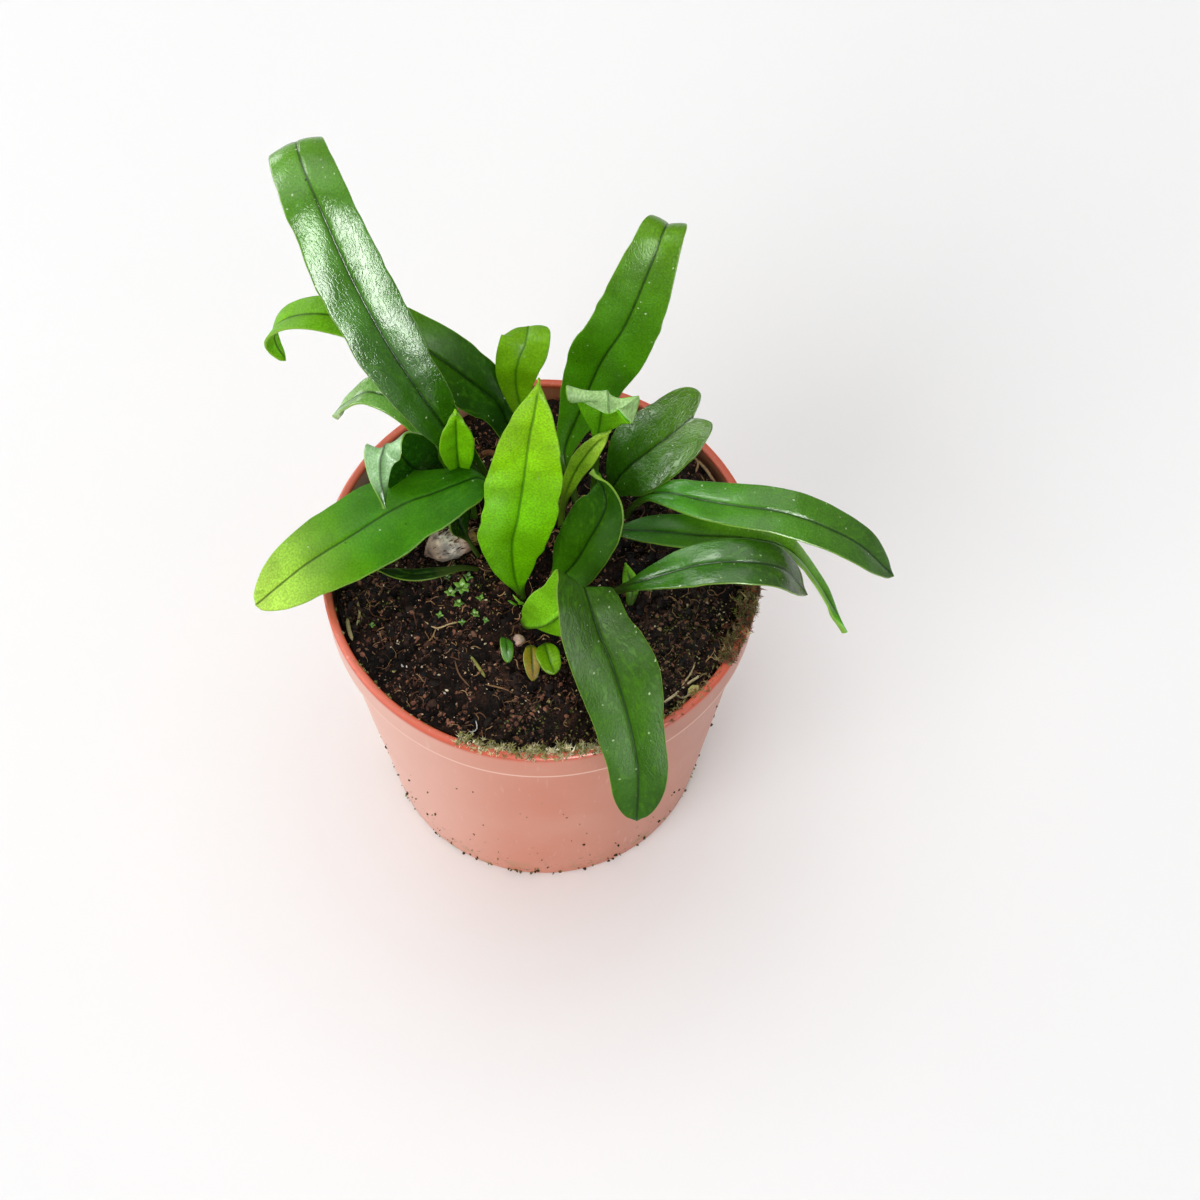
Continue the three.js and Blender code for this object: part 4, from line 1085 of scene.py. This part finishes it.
def moss():
    """Moss along parts of the rim, and low on the soil."""
    for arc in MOSS_ARCS:
        t = np.radians(rng.uniform(arc["start"], arc["end"], arc["count"]))
        r = RIM_RADIUS - 1.2 + np.minimum(rng.normal(-0.6, arc["spread"], arc["count"]), 0.9)
        z = POT_HEIGHT - 0.2 - 0.8 * np.maximum(SOIL_RADIUS - r, 0)
        tufts(arc["name"], on_circle(r, t, z), rng.uniform(*arc["reach"], arc["count"]), arc["tones"])
    spots = near(MOSSY, 420, 4, 0.1)
    tufts("moss_low", spots, rng.uniform(0.3, 0.9, len(spots)), "3e4a18 5c6a28 7c8444 2c3814")


def scales(name, centre, along, radii, count):
    """Papery scales that lie against a rhizome, pointing along it."""
    routes = []
    for _ in range(count):
        i = rng.integers(2, len(centre) - 6)
        angle = rng.uniform(0.1, 0.9) * math.pi
        side = unit(np.cross(along[i], (0, 0, 1)))
        out = side * math.cos(angle) + np.cross(side, along[i]) * math.sin(angle)
        root = centre[i] + out * radii[i] * 0.95
        lean = along[i] * rng.uniform(0.6, 1.2) + side * rng.uniform(-0.4, 0.4)
        routes.append([root, root + lean * 0.6 + out * 0.3, root + lean * 1.4 + out * 0.45])
    strands(name, routes, rng.uniform(0.18, 0.32, count), "3a2010 6a4426 8a6038 c4b090", pointed, 0.25,
            slot="rhizome")


def rhizome_piece(rhizome, seed):
    """A lumpy creeping stem in its own mottled colours, which replaces its node."""
    steps, sides = 70, 40
    s = np.linspace(0, 1, steps)
    centre, along, _ = along_route(rhizome["path"], s)
    out = around_route(along, (0.1, 0.2, 1), sides)
    radii = np.maximum(evenly(rhizome["radii"], s), 0.05)
    spots = centre[:, None] + out * radii[:, None, None]
    lumpy = 0.12 * noise(spots, 2.6, seed) + 0.05 * noise(spots, 0.9, seed + 1)
    points = centre[:, None] + out * (radii[:, None] * (1 + lumpy))[..., None]
    tones = evenly(palette(rhizome["tones"]), s)
    blotch = 1 + 0.85 * noise(points, 1.4, seed + 2)[..., None]
    piece = new_piece(rhizome["name"], points, tube(steps, sides), RHIZOME_MATERIAL, "rhizome",
                      np.clip(tones[:, None] * blotch, 0, 1))
    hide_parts(rhizome["name"])
    scales(rhizome["name"] + "_scales", centre, along, radii, rhizome["scales"])


def dirt():
    """Crumbs stuck to the outside of the pot, most of them near its foot."""
    count = 300
    z = 1 + 60 * rng.uniform(0, 1, count) ** 2.6
    t = rng.uniform(0, 2 * np.pi, count)
    r = lerp(BASE_RADIUS, WALL_TOP_RADIUS, z / BAND_BOTTOM) + 0.05
    tones = "3c3018 5a5228 6c5a34 2c2412 8c8a58"
    lumps("pot_dirt", on_circle(r, t, z), rng.uniform(0.12, 0.6, count), tones)


# Stage


def looking(place, back, upright):
    """The placing of a camera or lamp that faces away from `back`."""
    back = Vector(back).normalized()
    right = Vector(upright).cross(back).normalized()
    turn = Matrix((right, back.cross(right), back)).transposed().to_4x4()
    return Matrix.Translation(Vector(place) * MM) @ turn


def make_camera():
    camera = bpy.data.objects.new("camera", bpy.data.cameras.new("camera"))
    camera.data.lens = LENS
    camera.data.sensor_width = SENSOR
    camera.data.clip_start = 0.01
    camera.matrix_world = looking(EYE, -Vector(LOOK), UP)
    bpy.context.scene.collection.objects.link(camera)
    bpy.context.scene.camera = camera


def make_light(name, place, size, glow, aim=(0, 0, 100), upright=(0, 0, 1), diffuse=True, gloss=True):
    """A rectangular softbox whose face is `glow` times as bright as a white wall."""
    light = bpy.data.lights.new(name, "AREA")
    light.shape = "RECTANGLE"
    light.size, light.size_y = (side * MM for side in size)
    light.energy = 4 * glow * light.size * light.size_y
    lamp = bpy.data.objects.new(name, light)
    lamp.matrix_world = looking(place, Vector(place) - Vector(aim), upright)
    lamp.visible_camera = False
    lamp.visible_diffuse = diffuse
    lamp.visible_glossy = gloss
    bpy.context.scene.collection.objects.link(lamp)


def make_stage():
    floor = bpy.data.meshes.new("floor")
    reach = 4.0
    corners = [(-reach, -reach, 0), (reach, -reach, 0), (reach, reach, 0), (-reach, reach, 0)]
    floor.from_pydata(corners, [], [(0, 1, 2, 3)])
    floor.materials.append(plain_material("floor", "f4f4f4", 0.9))
    piece = bpy.data.objects.new("floor", floor)
    bpy.context.scene.collection.objects.link(piece)
    make_light("overhead", (0, 250, 1150), (1100, 1100), 1.3)
    make_light("key", (-2400, -2800, 2700), (2800, 2800), 2.9, gloss=False)
    make_light("window", (-560, 420, 280), (620, 340), 5.5, diffuse=False)
    make_light("high_window", (-500, 200, 700), (320, 280), 9, diffuse=False)
    make_light("window_pane", (-660, -20, 220), (360, 260), 9, diffuse=False)
    make_light("tall_panel", (170, -440, 310), (210, 600), 19, aim=(-30, 25, 145), upright=(94, 233, 505),
               diffuse=False)
    world = bpy.data.worlds.new("studio")
    world.use_nodes = True
    tree = world.node_tree
    backdrop = tree.nodes["Background"]
    backdrop.inputs["Color"].default_value = (1, 1, 1, 1)
    rise = tree.nodes.new("ShaderNodeSeparateXYZ")
    tree.links.new(tree.nodes.new("ShaderNodeTexCoord").outputs["Generated"], rise.inputs[0])
    glow = tree.nodes.new("ShaderNodeMapRange")
    tree.links.new(rise.outputs["Z"], glow.inputs["Value"])
    for socket, value in zip(("From Min", "From Max", "To Min", "To Max"), WORLD_GLOW):
        glow.inputs[socket].default_value = value
    tree.links.new(glow.outputs["Result"], backdrop.inputs["Strength"])
    bpy.context.scene.world = world
    bpy.context.scene.view_settings.view_transform = "Standard"


make_camera()
make_stage()
pot_piece()
soil_piece()
litter()
for number, frond in enumerate(FRONDS):
    frond_piece(frond, number + 1)
for number, rhizome in enumerate(RHIZOMES):
    rhizome_piece(rhizome, 40 + number)
seedlings()
moss()
dirt()
